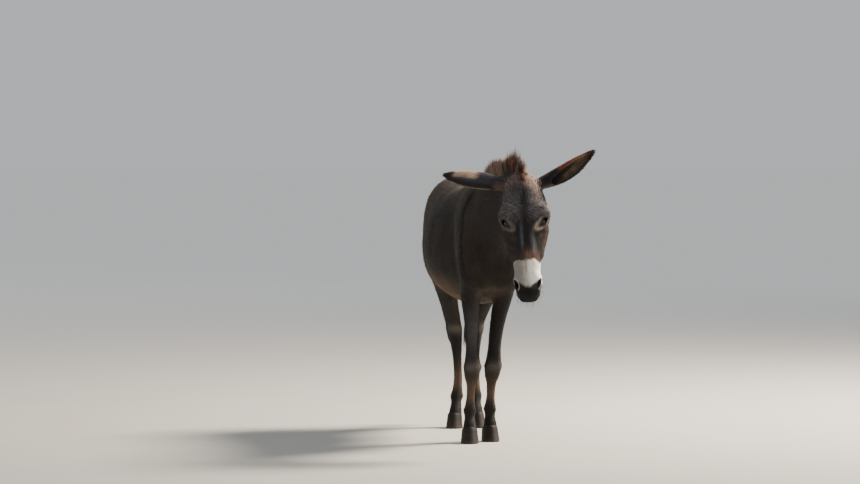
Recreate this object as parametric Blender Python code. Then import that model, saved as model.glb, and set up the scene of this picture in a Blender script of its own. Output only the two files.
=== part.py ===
"""A life-size donkey, standing square with its head up, as separate closed solids.

Metres.  The donkey faces -Y, its left side is +X and the floor is z = 0.
The flesh is described by one smooth field: lofts, ellipsoids and round cones
blended together.  The field is meshed once and then cut by thin plates, so
every node keeps the outline of the whole animal.
"""
import math

import bmesh
import bpy
import numpy as np

# ----------------------------------------------------------------------------
# Named sizes
# ----------------------------------------------------------------------------
GAP = 0.0004              # air between two touching nodes
PLATE = 0.0006            # thickness of the plates that part the flesh
BODY_CELL = 0.012         # mesh cell of the body
BODY_TRIANGLES = 3400     # the body's share of the triangles, before it is cut

POLL = (0.068, -0.800, 1.080)      # top of the head, between the ears
HEAD_TILT = math.radians(22.0)     # nose held forward of straight down
HEAD_TURN = math.radians(9.0)      # head turned to the animal's right
HEAD_ROLL = math.radians(3.5)      # top of the head leaning to its right
NECK_ROOT = (0.0, -0.300, 0.870)
NECK_RISE = math.radians(17.0)

EYE_RADIUS = 0.0190
EYE_PLACE = (0.0655, 0.0290, 0.1900)   # side, towards the face, down the head
HOOF_HEIGHT = 0.058

# Trunk, from chest to buttock: y, side, height of centre, half width, up, down
TRUNK = [
    (-0.520, 0.000, 0.765, 0.028, 0.045, 0.045),
    (-0.495, 0.000, 0.770, 0.064, 0.105, 0.085),
    (-0.450, 0.000, 0.780, 0.092, 0.170, 0.135),
    (-0.380, 0.000, 0.795, 0.108, 0.232, 0.190),
    (-0.280, 0.000, 0.805, 0.120, 0.273, 0.223),
    (-0.180, 0.000, 0.800, 0.150, 0.285, 0.232),
    (-0.050, 0.000, 0.790, 0.194, 0.272, 0.235),
    (0.080, 0.000, 0.785, 0.218, 0.270, 0.234),
    (0.200, 0.000, 0.790, 0.216, 0.280, 0.228),
    (0.310, 0.000, 0.815, 0.192, 0.277, 0.214),
    (0.400, 0.000, 0.855, 0.165, 0.237, 0.190),
    (0.480, 0.000, 0.875, 0.134, 0.195, 0.150),
    (0.540, 0.000, 0.885, 0.092, 0.135, 0.110),
    (0.570, 0.000, 0.890, 0.038, 0.060, 0.050),
]

# Neck, from root to poll: distance, side, up, half width, half height up, down
NECK = [
    (-0.050, 0.000, 0.000, 0.118, 0.205, 0.215),
    (0.080, 0.002, 0.000, 0.104, 0.192, 0.200),
    (0.200, 0.012, 0.004, 0.088, 0.162, 0.160),
    (0.320, 0.031, 0.006, 0.075, 0.138, 0.128),
    (0.430, 0.052, 0.004, 0.067, 0.120, 0.108),
    (0.530, 0.066, 0.000, 0.060, 0.100, 0.080),
]

# Skull, from poll to lips: distance, side, towards face, half width, face, jaw
SKULL = [
    (-0.035, 0.000, -0.050, 0.036, 0.050, 0.040),
    (0.000, 0.000, -0.040, 0.064, 0.074, 0.060),
    (0.050, 0.000, -0.030, 0.082, 0.080, 0.080),
    (0.110, 0.000, -0.020, 0.091, 0.078, 0.095),
    (0.170, 0.000, -0.012, 0.088, 0.069, 0.097),
    (0.230, 0.000, -0.006, 0.076, 0.059, 0.090),
    (0.290, 0.000, 0.000, 0.064, 0.049, 0.076),
    (0.350, 0.000, 0.000, 0.0555, 0.042, 0.064),
    (0.400, 0.000, -0.003, 0.0510, 0.039, 0.056),
    (0.438, 0.000, -0.008, 0.0500, 0.037, 0.049),
    (0.471, 0.000, -0.016, 0.0430, 0.030, 0.038),
    (0.497, 0.000, -0.024, 0.0280, 0.018, 0.024),
]

# Foreleg seen from the side: height, front edge, back edge, half width
FORELEG = [
    (0.760, -0.475, -0.250, 0.044),
    (0.690, -0.450, -0.232, 0.048),
    (0.630, -0.412, -0.228, 0.045),
    (0.570, -0.388, -0.238, 0.040),
    (0.510, -0.370, -0.252, 0.0350),
    (0.450, -0.357, -0.262, 0.0318),
    (0.390, -0.347, -0.270, 0.0300),
    (0.350, -0.348, -0.272, 0.0325),
    (0.305, -0.350, -0.270, 0.0362),
    (0.268, -0.341, -0.268, 0.0315),
    (0.235, -0.333, -0.277, 0.0222),
    (0.190, -0.331, -0.279, 0.0195),
    (0.158, -0.333, -0.276, 0.0220),
    (0.132, -0.336, -0.274, 0.0262),
    (0.105, -0.340, -0.288, 0.0228),
    (0.078, -0.353, -0.298, 0.0265),
    (0.040, -0.368, -0.304, 0.0310),
    (0.028, -0.371, -0.306, 0.0310),
]

# Hind leg seen from the side: height, front edge, back edge, half width
HIND_LEG = [
    (0.900, 0.250, 0.545, 0.056),
    (0.820, 0.222, 0.560, 0.064),
    (0.740, 0.206, 0.552, 0.064),
    (0.680, 0.208, 0.535, 0.058),
    (0.620, 0.240, 0.514, 0.050),
    (0.560, 0.292, 0.506, 0.043),
    (0.510, 0.350, 0.517, 0.0390),
    (0.475, 0.392, 0.538, 0.0375),
    (0.450, 0.418, 0.544, 0.0360),
    (0.415, 0.436, 0.538, 0.0335),
    (0.380, 0.446, 0.525, 0.0305),
    (0.340, 0.452, 0.514, 0.0255),
    (0.290, 0.457, 0.507, 0.0215),
    (0.210, 0.454, 0.502, 0.0205),
    (0.165, 0.450, 0.502, 0.0230),
    (0.138, 0.444, 0.503, 0.0270),
    (0.108, 0.434, 0.484, 0.0235),
    (0.078, 0.418, 0.474, 0.0275),
    (0.040, 0.402, 0.466, 0.0310),
    (0.028, 0.400, 0.464, 0.0310),
]

# How each leg stands: height, side, shift along the body
STANCE = {
    "fore_right": [
        (0.760, -0.078, 0.000), (0.610, -0.078, -0.005), (0.540, -0.075, -0.010),
        (0.460, -0.072, -0.015), (0.385, -0.071, -0.020), (0.305, -0.072, -0.026),
        (0.235, -0.076, -0.028), (0.132, -0.083, -0.034), (0.028, -0.089, -0.042),
    ],
    "fore_left": [
        (0.760, 0.078, 0.000), (0.610, 0.062, 0.010), (0.540, 0.048, 0.016),
        (0.460, 0.034, 0.022), (0.385, 0.027, 0.028), (0.305, 0.022, 0.034),
        (0.235, 0.016, 0.038), (0.132, 0.011, 0.044), (0.028, 0.009, 0.050),
    ],
    "hind_right": [
        (0.900, -0.100, 0.000), (0.740, -0.116, 0.000), (0.620, -0.096, 0.000),
        (0.530, -0.072, -0.004), (0.430, -0.044, -0.010), (0.340, -0.033, -0.012),
        (0.210, -0.028, -0.014), (0.108, -0.038, -0.016), (0.028, -0.050, -0.018),
    ],
    "hind_left": [
        (0.900, 0.100, 0.000), (0.740, 0.118, 0.000), (0.620, 0.100, 0.002),
        (0.530, 0.076, 0.004), (0.430, 0.054, 0.006), (0.340, 0.049, 0.006),
        (0.210, 0.050, 0.006), (0.108, 0.050, 0.006), (0.028, 0.052, 0.006),
    ],
}
TOE_OUT = {"fore_right": -6.0, "fore_left": 3.0, "hind_right": -12.0, "hind_left": 12.0}

# Tail: point on its middle line and thickness there
TAIL = [
    ((0.000, 0.540, 0.985), 0.032),
    ((0.004, 0.596, 0.945), 0.026),
    ((0.016, 0.622, 0.850), 0.020),
    ((0.036, 0.632, 0.720), 0.016),
    ((0.050, 0.634, 0.600), 0.016),
    ((0.055, 0.632, 0.450), 0.027),
    ((0.055, 0.626, 0.320), 0.012),
]
TAIL_CUT_HEIGHT = 0.565

# Ear, from root to tip: distance, half width, depth of back, depth of rims,
# angle the rims curl in by, wall, how far hollowed out
EAR = [
    (-0.020, 0.0200, 0.0180, 0.0180, 30, 0.0060, 0.0),
    (0.010, 0.0250, 0.0240, 0.0240, 35, 0.0060, 0.0),
    (0.035, 0.0295, 0.0265, 0.0240, 45, 0.0060, 0.15),
    (0.060, 0.0340, 0.0285, 0.0210, 45, 0.0060, 0.80),
    (0.085, 0.0385, 0.0290, 0.0180, 38, 0.0060, 1.0),
    (0.115, 0.0415, 0.0280, 0.0150, 30, 0.0058, 1.0),
    (0.150, 0.0425, 0.0255, 0.0120, 25, 0.0056, 1.0),
    (0.185, 0.0390, 0.0220, 0.0100, 22, 0.0054, 1.0),
    (0.215, 0.0315, 0.0175, 0.0085, 20, 0.0050, 1.0),
    (0.240, 0.0235, 0.0130, 0.0070, 18, 0.0046, 1.0),
    (0.260, 0.0150, 0.0090, 0.0055, 15, 0.0042, 0.9),
    (0.275, 0.0070, 0.0050, 0.0035, 12, 0.0030, 0.2),
]
EAR_BACK_POINTS = 12
EAR_FRONT_POINTS = 9
EAR_ROOTS = {"right": (-0.055, 0.015, 1.062), "left": (0.062, 0.015, 1.066)}
EAR_TIPS = {"right": (-0.322, 0.085, 1.105), "left": (0.248, 0.080, 1.177)}
EAR_SAG = {"right": 0.0, "left": 0.021}
# Direction the back of each ear faces
EAR_BACKS = {"right": (0.0, -0.80, 0.60), "left": (-0.30, 0.80, 0.52)}

# Mane: crest of the neck to forelock, as point and height of the hair above it
MANE = [
    ((0.000, -0.280, 1.060), 0.060),
    ((0.004, -0.340, 1.066), 0.095),
    ((0.012, -0.430, 1.072), 0.102),
    ((0.024, -0.530, 1.080), 0.100),
    ((0.042, -0.640, 1.086), 0.112),
    ((0.055, -0.710, 1.090), 0.108),
    ((0.064, -0.780, 1.092), 0.076),
    ((0.067, -0.838, 1.070), 0.045),
]
MANE_TUFTS = 19
# Section of the mane: across, share of the height (below the crest in metres)
MANE_SECTION = [
    (-0.010, -0.014), (-0.0155, 0.12), (-0.0140, 0.55), (-0.0060, 0.93),
    (0.0060, 1.00), (0.0140, 0.58), (0.0155, 0.12), (0.010, -0.014),
]

# Colour and roughness of every kind of node
COLOURS = {
    "trunk": ("#4a4340", 0.85), "neck": ("#46403c", 0.85), "head": ("#4b4542", 0.85),
    "ear": ("#43382f", 0.85), "mane": ("#4a3a30", 0.80), "dock": ("#3d3733", 0.85),
    "tassel": ("#2a2422", 0.80), "upper": ("#3f3a38", 0.85), "lower": ("#2d2b2f", 0.85),
    "hoof": ("#2b2826", 0.60), "eye": ("#15110f", 0.12),
}


# ----------------------------------------------------------------------------
# Shapes of the field: negative inside, positive outside
# ----------------------------------------------------------------------------
def unit(v):
    v = np.array(v, float)
    return v / np.linalg.norm(v)


def smooth_curve(rows, samples=400):
    """Even samples of a curve through the rows that never overshoots them."""
    rows = np.array(rows, float)
    s = rows[:, 0]
    gaps = np.diff(s)
    slopes = np.diff(rows[:, 1:], axis=0) / gaps[:, None]
    bend = np.zeros_like(rows[:, 1:])
    bend[0] = slopes[0]
    bend[-1] = slopes[-1]
    left = slopes[:-1]
    right = slopes[1:]
    w1 = (2 * gaps[1:] + gaps[:-1])[:, None]
    w2 = (gaps[1:] + 2 * gaps[:-1])[:, None]
    same = left * right > 0
    safe_left = np.where(same, left, 1.0)
    safe_right = np.where(same, right, 1.0)
    bend[1:-1] = np.where(same, (w1 + w2) / (w1 / safe_left + w2 / safe_right), 0.0)
    at = np.linspace(s[0], s[-1], samples)
    i = np.clip(np.searchsorted(s, at, side="right") - 1, 0, len(s) - 2)
    h = gaps[i][:, None]
    t = ((at - s[i]) / gaps[i])[:, None]
    value = (1 + 2 * t) * (1 - t) ** 2 * rows[i, 1:]
    value += t * (1 - t) ** 2 * h * bend[i]
    value += t * t * (3 - 2 * t) * rows[i + 1, 1:]
    value += t * t * (t - 1) * h * bend[i + 1]
    return at, value


def join(a, b, blend):
    """Union of two shapes with a soft fillet."""
    h = np.maximum(blend - np.abs(a - b), 0) / blend
    return np.minimum(a, b) - h * h * blend * 0.25


def common(a, b, blend):
    return -join(-a, -b, blend)


def ellipse_distance(x, y, half_x, half_y):
    k0 = np.sqrt((x / half_x) ** 2 + (y / half_y) ** 2)
    k1 = np.sqrt((x / half_x ** 2) ** 2 + (y / half_y ** 2) ** 2) + 1e-6
    return np.where(k0 < 0.02, -np.minimum(half_x, half_y), k0 * (k0 - 1) / k1)


class Axes:
    """A local frame: side, up and along."""

    def __init__(self, origin, along, up):
        self.origin = np.array(origin, float)
        self.along = unit(along)
        self.side = unit(np.cross(self.along, unit(up)))
        self.up = np.cross(self.side, self.along)

    def local(self, p):
        q = p - self.origin
        return q @ self.side, q @ self.up, q @ self.along

    def point(self, side, up, along):
        return self.origin + side * self.side + up * self.up + along * self.along


def loft(axes, rows, end):
    """Ellipses along an axis: distance, side, up, half side, half up, half down."""
    at, table = smooth_curve(rows)

    def shape(p):
        x, n, s = axes.local(p)
        c = np.clip(s, at[0], at[-1])
        side, up, half, above, below = [np.interp(c, at, table[:, i]) for i in range(5)]
        dn = n - up
        d = ellipse_distance(x - side, dn, half, np.where(dn > 0, above, below))
        return common(d, np.maximum(at[0] - s, s - at[-1]), end)
    return shape


def egg(centre, radii, along=(0, 1, 0), up=(0, 0, 1)):
    """Ellipsoid with radii across, up and along."""
    axes = Axes(centre, along, up)
    a, b, c = radii

    def shape(p):
        x, n, s = axes.local(p)
        k0 = np.sqrt((x / a) ** 2 + (n / b) ** 2 + (s / c) ** 2)
        k1 = np.sqrt((x / a ** 2) ** 2 + (n / b ** 2) ** 2 + (s / c ** 2) ** 2) + 1e-6
        return np.where(k0 < 0.02, -min(a, b, c), k0 * (k0 - 1) / k1)
    return shape


def cone(start, stop, start_radius, stop_radius):
    """Round cone between two points."""
    start = np.array(start, float)
    reach = np.array(stop, float) - start

    def shape(p):
        t = np.clip(((p - start) @ reach) / (reach @ reach), 0, 1)
        q = p - start - t[..., None] * reach
        return np.sqrt((q * q).sum(-1)) - (start_radius + (stop_radius - start_radius) * t)
    return shape


def blend_all(shapes):
    """One shape from a list of (shape, fillet)."""
    def shape(p):
        total = None
        for piece, fillet in shapes:
            d = piece(p)
            total = d if total is None else join(total, d, fillet)
        return total
    return shape


# ----------------------------------------------------------------------------
# The animal
# ----------------------------------------------------------------------------
UPWARD = np.array([0.0, 0.0, 1.0])
FACING = np.array([-math.sin(HEAD_TURN), -math.cos(HEAD_TURN), 0.0])
LEVEL_LEFT = np.array([math.cos(HEAD_TURN), -math.sin(HEAD_TURN), 0.0])
LEFTWARD = math.cos(HEAD_ROLL) * LEVEL_LEFT + math.sin(HEAD_ROLL) * UPWARD
CROWN = math.cos(HEAD_ROLL) * UPWARD - math.sin(HEAD_ROLL) * LEVEL_LEFT
HEAD = Axes(
    POLL,
    math.sin(HEAD_TILT) * FACING - math.cos(HEAD_TILT) * CROWN,
    math.cos(HEAD_TILT) * FACING + math.sin(HEAD_TILT) * CROWN,
)


def on_head(side, face, down):
    """Point of the head: towards its left, out of the face, down to the lips."""
    return HEAD.origin + side * LEFTWARD + face * HEAD.up + down * HEAD.along


def leg_loft(name):
    rows = FORELEG if name.startswith("fore") else HIND_LEG
    heights, stance = smooth_curve(sorted(STANCE[name]))
    top = rows[0][0]
    table = []
    for z, front, back, half in rows:
        x = np.interp(z, heights, stance[:, 0])
        shift = np.interp(z, heights, stance[:, 1])
        deep = (back - front) / 2
        table.append((top - z, -x, -(front + back) / 2 - shift, half, deep, deep))
    return loft(Axes((0, 0, top), (0, 0, -1), (0, -1, 0)), table, 0.004)


def stance_at(name, z):
    heights, stance = smooth_curve(sorted(STANCE[name]))
    x = np.interp(z, heights, stance[:, 0])
    shift = np.interp(z, heights, stance[:, 1])
    return x, shift


def body_shapes():
    trunk_axes = Axes((0, 0, 0), (0, 1, 0), (0, 0, 1))
    neck_axes = Axes(NECK_ROOT, (0, -math.cos(NECK_RISE), math.sin(NECK_RISE)), (0, 0, 1))
    # these axes have the animal's right on their positive side
    neck_rows = [(s, -left, *rest) for s, left, *rest in NECK]
    shapes = [
        (loft(trunk_axes, TRUNK, 0.02), 0.0),
        (loft(neck_axes, neck_rows, 0.03), 0.05),
    ]
    for side in (-1, 1):
        shapes += [
            # shoulder blade, upper arm and breast
            (egg((side * 0.066, -0.320, 0.860), (0.050, 0.175, 0.105), (0, 1, -0.35)), 0.06),
            (egg((side * 0.078, -0.400, 0.745), (0.046, 0.095, 0.085)), 0.06),
            (egg((side * 0.046, -0.440, 0.720), (0.050, 0.075, 0.065)), 0.05),
            # haunch, thigh, buttock and stifle
            (egg((side * 0.088, 0.375, 0.880), (0.090, 0.165, 0.160)), 0.06),
            (egg((side * 0.102, 0.330, 0.745), (0.070, 0.140, 0.130)), 0.06),
            (egg((side * 0.084, 0.468, 0.770), (0.062, 0.150, 0.090)), 0.06),
            (egg((side * 0.116, 0.245, 0.690), (0.044, 0.060, 0.080)), 0.05),
        ]
    for name in STANCE:
        shapes.append((leg_loft(name), 0.028))
    for name in ("hind_right", "hind_left"):
        x, shift = stance_at(name, 0.455)
        up_x = stance_at(name, 0.600)[0]
        point = (x, 0.532 + shift, 0.462)
        shapes += [
            # point of the hock and the sinew above it
            (cone(point, (x, 0.512 + shift, 0.385), 0.0170, 0.0170), 0.025),
            (cone(point, (up_x, 0.492 + shift, 0.600), 0.0130, 0.0240), 0.030),
        ]
    return shapes


def head_egg(place, radii):
    return egg(on_head(*place), radii, HEAD.along, HEAD.up)


def head_shapes():
    shapes = [(loft(HEAD, SKULL, 0.01), 0.0)]
    for side in (-1, 1):
        cheek_back = on_head(side * 0.072, -0.010, 0.215)
        cheek_front = on_head(side * 0.054, -0.014, 0.310)
        shapes += [
            # round of the jaw, brow over the eye, cheek bone and nostril
            (head_egg((side * 0.049, -0.070, 0.160), (0.043, 0.080, 0.116)), 0.03),
            (head_egg((side * 0.068, 0.022, 0.155), (0.036, 0.032, 0.037)), 0.040),
            (cone(cheek_back, cheek_front, 0.016, 0.013), 0.03),
            (head_egg((side * 0.030, 0.004, 0.428), (0.025, 0.027, 0.038)), 0.02),
        ]
    shapes += [
        # chin and upper lip
        (head_egg((0, -0.046, 0.440), (0.032, 0.022, 0.036)), 0.02),
        (head_egg((0, -0.012, 0.470), (0.040, 0.030, 0.030)), 0.02),
    ]
    return shapes


def tail_shapes():
    shapes = []
    for (start, r0), (stop, r1) in zip(TAIL[:-1], TAIL[1:]):
        shapes.append((cone(start, stop, r0, r1), 0.01))
    return shapes


def body_field():
    body = blend_all(body_shapes())
    head = blend_all(head_shapes())
    tail = blend_all(tail_shapes())

    def shape(p):
        return join(join(body(p), head(p), 0.035), tail(p), 0.02)
    return shape


def ear(which):
    """A leaf-shaped tube, solid at its root and hollowed towards its open side."""
    root = EAR_ROOTS[which]
    tip = EAR_TIPS[which]
    start = np.array(POLL) + root[0] * LEVEL_LEFT - root[1] * FACING
    start[2] = root[2]
    stop = np.array(POLL) + tip[0] * LEVEL_LEFT - tip[1] * FACING
    stop[2] = tip[2]
    axes = Axes(start, stop - start, EAR_BACKS[which])
    down = -EAR_SAG[which] if axes.side[2] > 0 else EAR_SAG[which]
    points = []
    for s, wide, back, rim, curl, wall, hollow in EAR:
        shift = down * math.sin(math.pi * min(max(s / EAR[-1][0], 0.0), 1.0))
        curl = math.radians(curl)
        ring = []
        for i in range(EAR_BACK_POINTS):
            angle = -curl + (math.pi + 2 * curl) * i / (EAR_BACK_POINTS - 1)
            deep = back if math.sin(angle) > 0 else rim
            ring.append((wide * math.cos(angle), deep * math.sin(angle)))
        for i in range(EAR_FRONT_POINTS):
            share = (i + 0.5) / EAR_FRONT_POINTS
            outer = math.pi + curl + (math.pi - 2 * curl) * share
            inner = math.pi + curl - (math.pi + 2 * curl) * share
            deep = (back if math.sin(inner) > 0 else rim) - wall
            flat = (wide * math.cos(outer), rim * math.sin(outer))
            cupped = ((wide - wall) * math.cos(inner), deep * math.sin(inner))
            ring.append(tuple((1 - hollow) * a + hollow * b for a, b in zip(flat, cupped)))
        points += [axes.point(x + shift, y, s) for x, y in ring]
    return tube("ear_" + which, points, EAR_BACK_POINTS + EAR_FRONT_POINTS)


def mane():
    """Upright tufts in one row, each a peak of a long fin rooted in the crest."""
    roots = np.array([row[0] for row in MANE])
    heights = np.array([row[1] for row in MANE])
    steps = np.concatenate([[0], np.cumsum(np.linalg.norm(np.diff(roots, axis=0), axis=1))])
    chance = np.random.default_rng(7)
    at, crest = smooth_curve(np.column_stack([steps, roots]))
    points = []
    rings = 2 * MANE_TUFTS + 1
    for i in range(rings):
        s = steps[-1] * i / (rings - 1)
        root = np.array([np.interp(s, at, crest[:, a]) for a in range(3)])
        ahead = np.array([np.interp(s + 0.02, at, crest[:, a]) for a in range(3)])
        behind = np.array([np.interp(s - 0.02, at, crest[:, a]) for a in range(3)])
        axes = Axes(root, ahead - behind, (0, 0, 1))
        tall = np.interp(s, steps, heights)
        peak = i % 2 == 1
        tall *= chance.uniform(0.90, 1.02) if peak else chance.uniform(0.62, 0.80)
        sway = chance.uniform(-0.16, 0.16) if peak else 0.0
        nod = chance.uniform(-0.15, 0.10) if peak else 0.0
        thin = min(1.0, 0.35 + 0.25 * min(i, rings - 1 - i))
        for x, share in MANE_SECTION:
            up = share * tall if share > 0 else share
            points.append(axes.point(thin * x + sway * max(up, 0), up, nod * max(up, 0)))
    return tube("mane", points, len(MANE_SECTION))


# ----------------------------------------------------------------------------
# Meshing
# ----------------------------------------------------------------------------
def sample(field, low, high, cell):
    axes = [np.arange(a, b + cell, cell) for a, b in zip(low, high)]
    values = np.empty([len(a) for a in axes])
    for i in range(0, len(axes[0]), 8):
        grid = np.meshgrid(axes[0][i:i + 8], axes[1], axes[2], indexing="ij")
        points = np.stack(grid, -1).reshape(-1, 3)
        values[i:i + 8] = field(points).reshape(grid[0].shape)
    return axes, values


def surface(axes, values):
    """Quads of the zero level: one vertex per crossed cell, one face per crossed edge."""
    inside = values < 0
    n = np.array(values.shape) - 1
    count = np.zeros(n, int)
    for i in (0, 1):
        for j in (0, 1):
            for k in (0, 1):
                count += inside[i:i + n[0], j:j + n[1], k:k + n[2]]
    cells = np.argwhere((count > 0) & (count < 8))
    index = np.full(n, -1)
    index[tuple(cells.T)] = np.arange(len(cells))
    total = np.zeros((len(cells), 3))
    hits = np.zeros(len(cells))
    for axis in range(3):
        others = [a for a in range(3) if a != axis]
        for u in (0, 1):
            for v in (0, 1):
                a = cells.copy()
                a[:, others[0]] += u
                a[:, others[1]] += v
                b = a.copy()
                b[:, axis] += 1
                va = values[tuple(a.T)]
                vb = values[tuple(b.T)]
                crossed = (va < 0) != (vb < 0)
                spot = a.astype(float)
                spot[:, axis] += np.where(crossed, va / np.where(crossed, va - vb, 1.0), 0.0)
                total += spot * crossed[:, None]
                hits += crossed
    step = axes[0][1] - axes[0][0]
    points = total / hits[:, None] * step + np.array([a[0] for a in axes])
    faces = []
    for axis in range(3):
        b, c = [(1, 2), (2, 0), (0, 1)][axis]
        low = [slice(None)] * 3
        high = [slice(None)] * 3
        low[axis] = slice(0, -1)
        high[axis] = slice(1, None)
        edges = np.argwhere(inside[tuple(low)] != inside[tuple(high)])
        was_inside = inside[tuple(low)][tuple(edges.T)]
        corners = []
        for db, dc in ((-1, -1), (0, -1), (0, 0), (-1, 0)):
            q = edges.copy()
            q[:, b] += db
            q[:, c] += dc
            corners.append(index[tuple(q.T)])
        quads = np.stack(corners, 1)
        quads[~was_inside] = quads[~was_inside][:, ::-1]
        faces.append(quads)
    return points, np.concatenate(faces)


def settle(field, points, most):
    """Move points onto the zero level."""
    h = 0.0015
    for _ in range(2):
        slope = np.empty_like(points)
        for a in range(3):
            d = np.zeros(3)
            d[a] = h
            slope[:, a] = (field(points + d) - field(points - d)) / (2 * h)
        move = (field(points) / np.maximum((slope ** 2).sum(1), 0.05))[:, None] * slope
        size = np.linalg.norm(move, axis=1, keepdims=True)
        points = points - move * np.minimum(1, most / np.maximum(size, 1e-9))
    return points


def new_object(name, points, faces):
    mesh = bpy.data.meshes.new(name)
    mesh.from_pydata([tuple(p) for p in points], [], [tuple(f) for f in faces])
    mesh.update()
    obj = bpy.data.objects.new(name, mesh)
    bpy.context.scene.collection.objects.link(obj)
    return obj


def tube(name, points, around):
    """Rings of points joined into a closed solid with capped ends."""
    faces = []
    rings = len(points) // around
    for ring in range(rings - 1):
        a = ring * around
        b = a + around
        for i in range(around):
            j = (i + 1) % around
            faces.append((a + i, a + j, b + j, b + i))
    last = len(points) - around
    faces.append(tuple(reversed(range(around))))
    faces.append(tuple(range(last, last + around)))
    obj = new_object(name, points, faces)
    work = bmesh.new()
    work.from_mesh(obj.data)
    bmesh.ops.recalc_face_normals(work, faces=work.faces)
    bmesh.ops.triangulate(work, faces=work.faces)
    work.to_mesh(obj.data)
    work.free()
    return obj


def baked(obj):
    """Apply the modifiers of an object."""
    graph = bpy.context.evaluated_depsgraph_get()
    mesh = bpy.data.meshes.new_from_object(obj.evaluated_get(graph))
    obj.modifiers.clear()
    obj.data = mesh
    return obj


def solid(name, field, low, high, cell, triangles):
    axes, values = sample(field, low, high, cell)
    points, faces = surface(axes, values)
    points = settle(field, points, cell * 0.5)
    obj = new_object(name, points, faces)
    fewer = obj.modifiers.new("fewer", "DECIMATE")
    fewer.ratio = triangles / (2.0 * len(faces))
    return baked(obj)


def swollen(obj, by):
    """A copy of a solid grown by a small amount, to cut its seat with."""
    copy = obj.copy()
    copy.data = obj.data.copy()
    copy.name = obj.name + "_seat"
    bpy.context.scene.collection.objects.link(copy)
    grow = copy.modifiers.new("grow", "DISPLACE")
    grow.strength = by
    grow.mid_level = 0.0
    return baked(copy)


def cut(obj, cutter):
    take = obj.modifiers.new("take", "BOOLEAN")
    take.operation = "DIFFERENCE"
    take.solver = "EXACT"
    take.object = cutter
    baked(obj)
    bpy.data.objects.remove(cutter)
    return obj


def plate(centre, normal, up, half_side, half_up, thick):
    """Corners and faces of one thin plate."""
    axes = Axes(centre, normal, up)
    points = []
    for s in (-thick / 2, thick / 2):
        for x, n in ((-1, -1), (1, -1), (1, 1), (-1, 1)):
            points.append(axes.point(x * half_side, n * half_up, s))
    faces = [(0, 3, 2, 1), (4, 5, 6, 7), (0, 1, 5, 4), (1, 2, 6, 5), (2, 3, 7, 6), (3, 0, 4, 7)]
    return points, faces


def plates_object(name, plates):
    points = []
    faces = []
    for plate_points, plate_faces in plates:
        start = len(points)
        points += plate_points
        faces += [tuple(i + start for i in face) for face in plate_faces]
    obj = new_object(name, points, faces)
    work = bmesh.new()
    work.from_mesh(obj.data)
    bmesh.ops.recalc_face_normals(work, faces=work.faces)
    work.to_mesh(obj.data)
    work.free()
    return obj


# ----------------------------------------------------------------------------
# Hooves
# ----------------------------------------------------------------------------
HOOF_RINGS = [
    # share of height, length, width
    (0.00, 0.955, 0.955),
    (0.04, 1.000, 1.000),
    (0.50, 0.925, 0.930),
    (0.92, 0.855, 0.865),
    (1.00, 0.820, 0.830),
]
HOOF_POINTS = 24
HOOF_SLOPE = math.radians(14.0)     # coronet lower at the heel


def hoof_middle(name):
    rows = FORELEG if name.startswith("fore") else HIND_LEG
    x, shift = stance_at(name, 0.028)
    front, back = rows[-1][1], rows[-1][2]
    return np.array([x, (front + back) / 2 + shift - 0.004, 0.0])


def hoof(name):
    """A hoof with a flat sole, leaning forward, its top sloping to the heel."""
    fore = name.startswith("fore")
    half_long = 0.0480 if fore else 0.0470
    half_wide = 0.0365 if fore else 0.0350
    middle = hoof_middle(name)
    turn = math.radians(TOE_OUT[name])
    ahead = np.array([math.sin(turn), -math.cos(turn), 0.0])
    across = np.array([math.cos(turn), math.sin(turn), 0.0])
    points = []
    for share, long_by, wide_by in HOOF_RINGS:
        for i in range(HOOF_POINTS):
            angle = 2 * math.pi * i / HOOF_POINTS
            along = math.cos(angle)
            side = math.sin(angle)
            heel = max(0.0, -along)
            reach = along * half_long * long_by * (1 - 0.16 * heel)
            spread = side * half_wide * wide_by * (1 + 0.10 * heel)
            notch = 0.010 * heel ** 6
            height = HOOF_HEIGHT + reach * math.tan(HOOF_SLOPE)
            forward = reach + notch - 0.020 * share + 0.006
            points.append(middle + forward * ahead + spread * across + (0, 0, share * height))
    return tube("hoof_" + name, points, HOOF_POINTS)


def foot_block(name):
    """Everything of the leg below the coronet, taken away for the hoof."""
    middle = hoof_middle(name)
    turn = math.radians(TOE_OUT[name])
    ahead = np.array([math.sin(turn), -math.cos(turn), 0.0])
    across = np.array([math.cos(turn), math.sin(turn), 0.0])
    points = []
    for level in (0, 1):
        for a, b in ((-1, -1), (1, -1), (1, 1), (-1, 1)):
            forward = 0.085 * b - 0.014
            top = HOOF_HEIGHT + GAP + (forward + 0.014) * math.tan(HOOF_SLOPE)
            height = top if level else -0.05
            points.append(middle + forward * ahead + 0.048 * a * across + (0, 0, height))
    faces = [(0, 3, 2, 1), (4, 5, 6, 7), (0, 1, 5, 4), (1, 2, 6, 5), (2, 3, 7, 6), (3, 0, 4, 7)]
    return points, faces


# ----------------------------------------------------------------------------
# Build
# ----------------------------------------------------------------------------
def start_empty():
    for obj in list(bpy.data.objects):
        bpy.data.objects.remove(obj)


def eyeball(side):
    bpy.ops.mesh.primitive_uv_sphere_add(
        segments=16, ring_count=10, radius=EYE_RADIUS,
        location=on_head(side * EYE_PLACE[0], EYE_PLACE[1], EYE_PLACE[2]))
    obj = bpy.context.object
    obj.name = "eye_left" if side > 0 else "eye_right"
    obj.data.transform(obj.matrix_world)
    obj.matrix_world.identity()
    return obj


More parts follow.
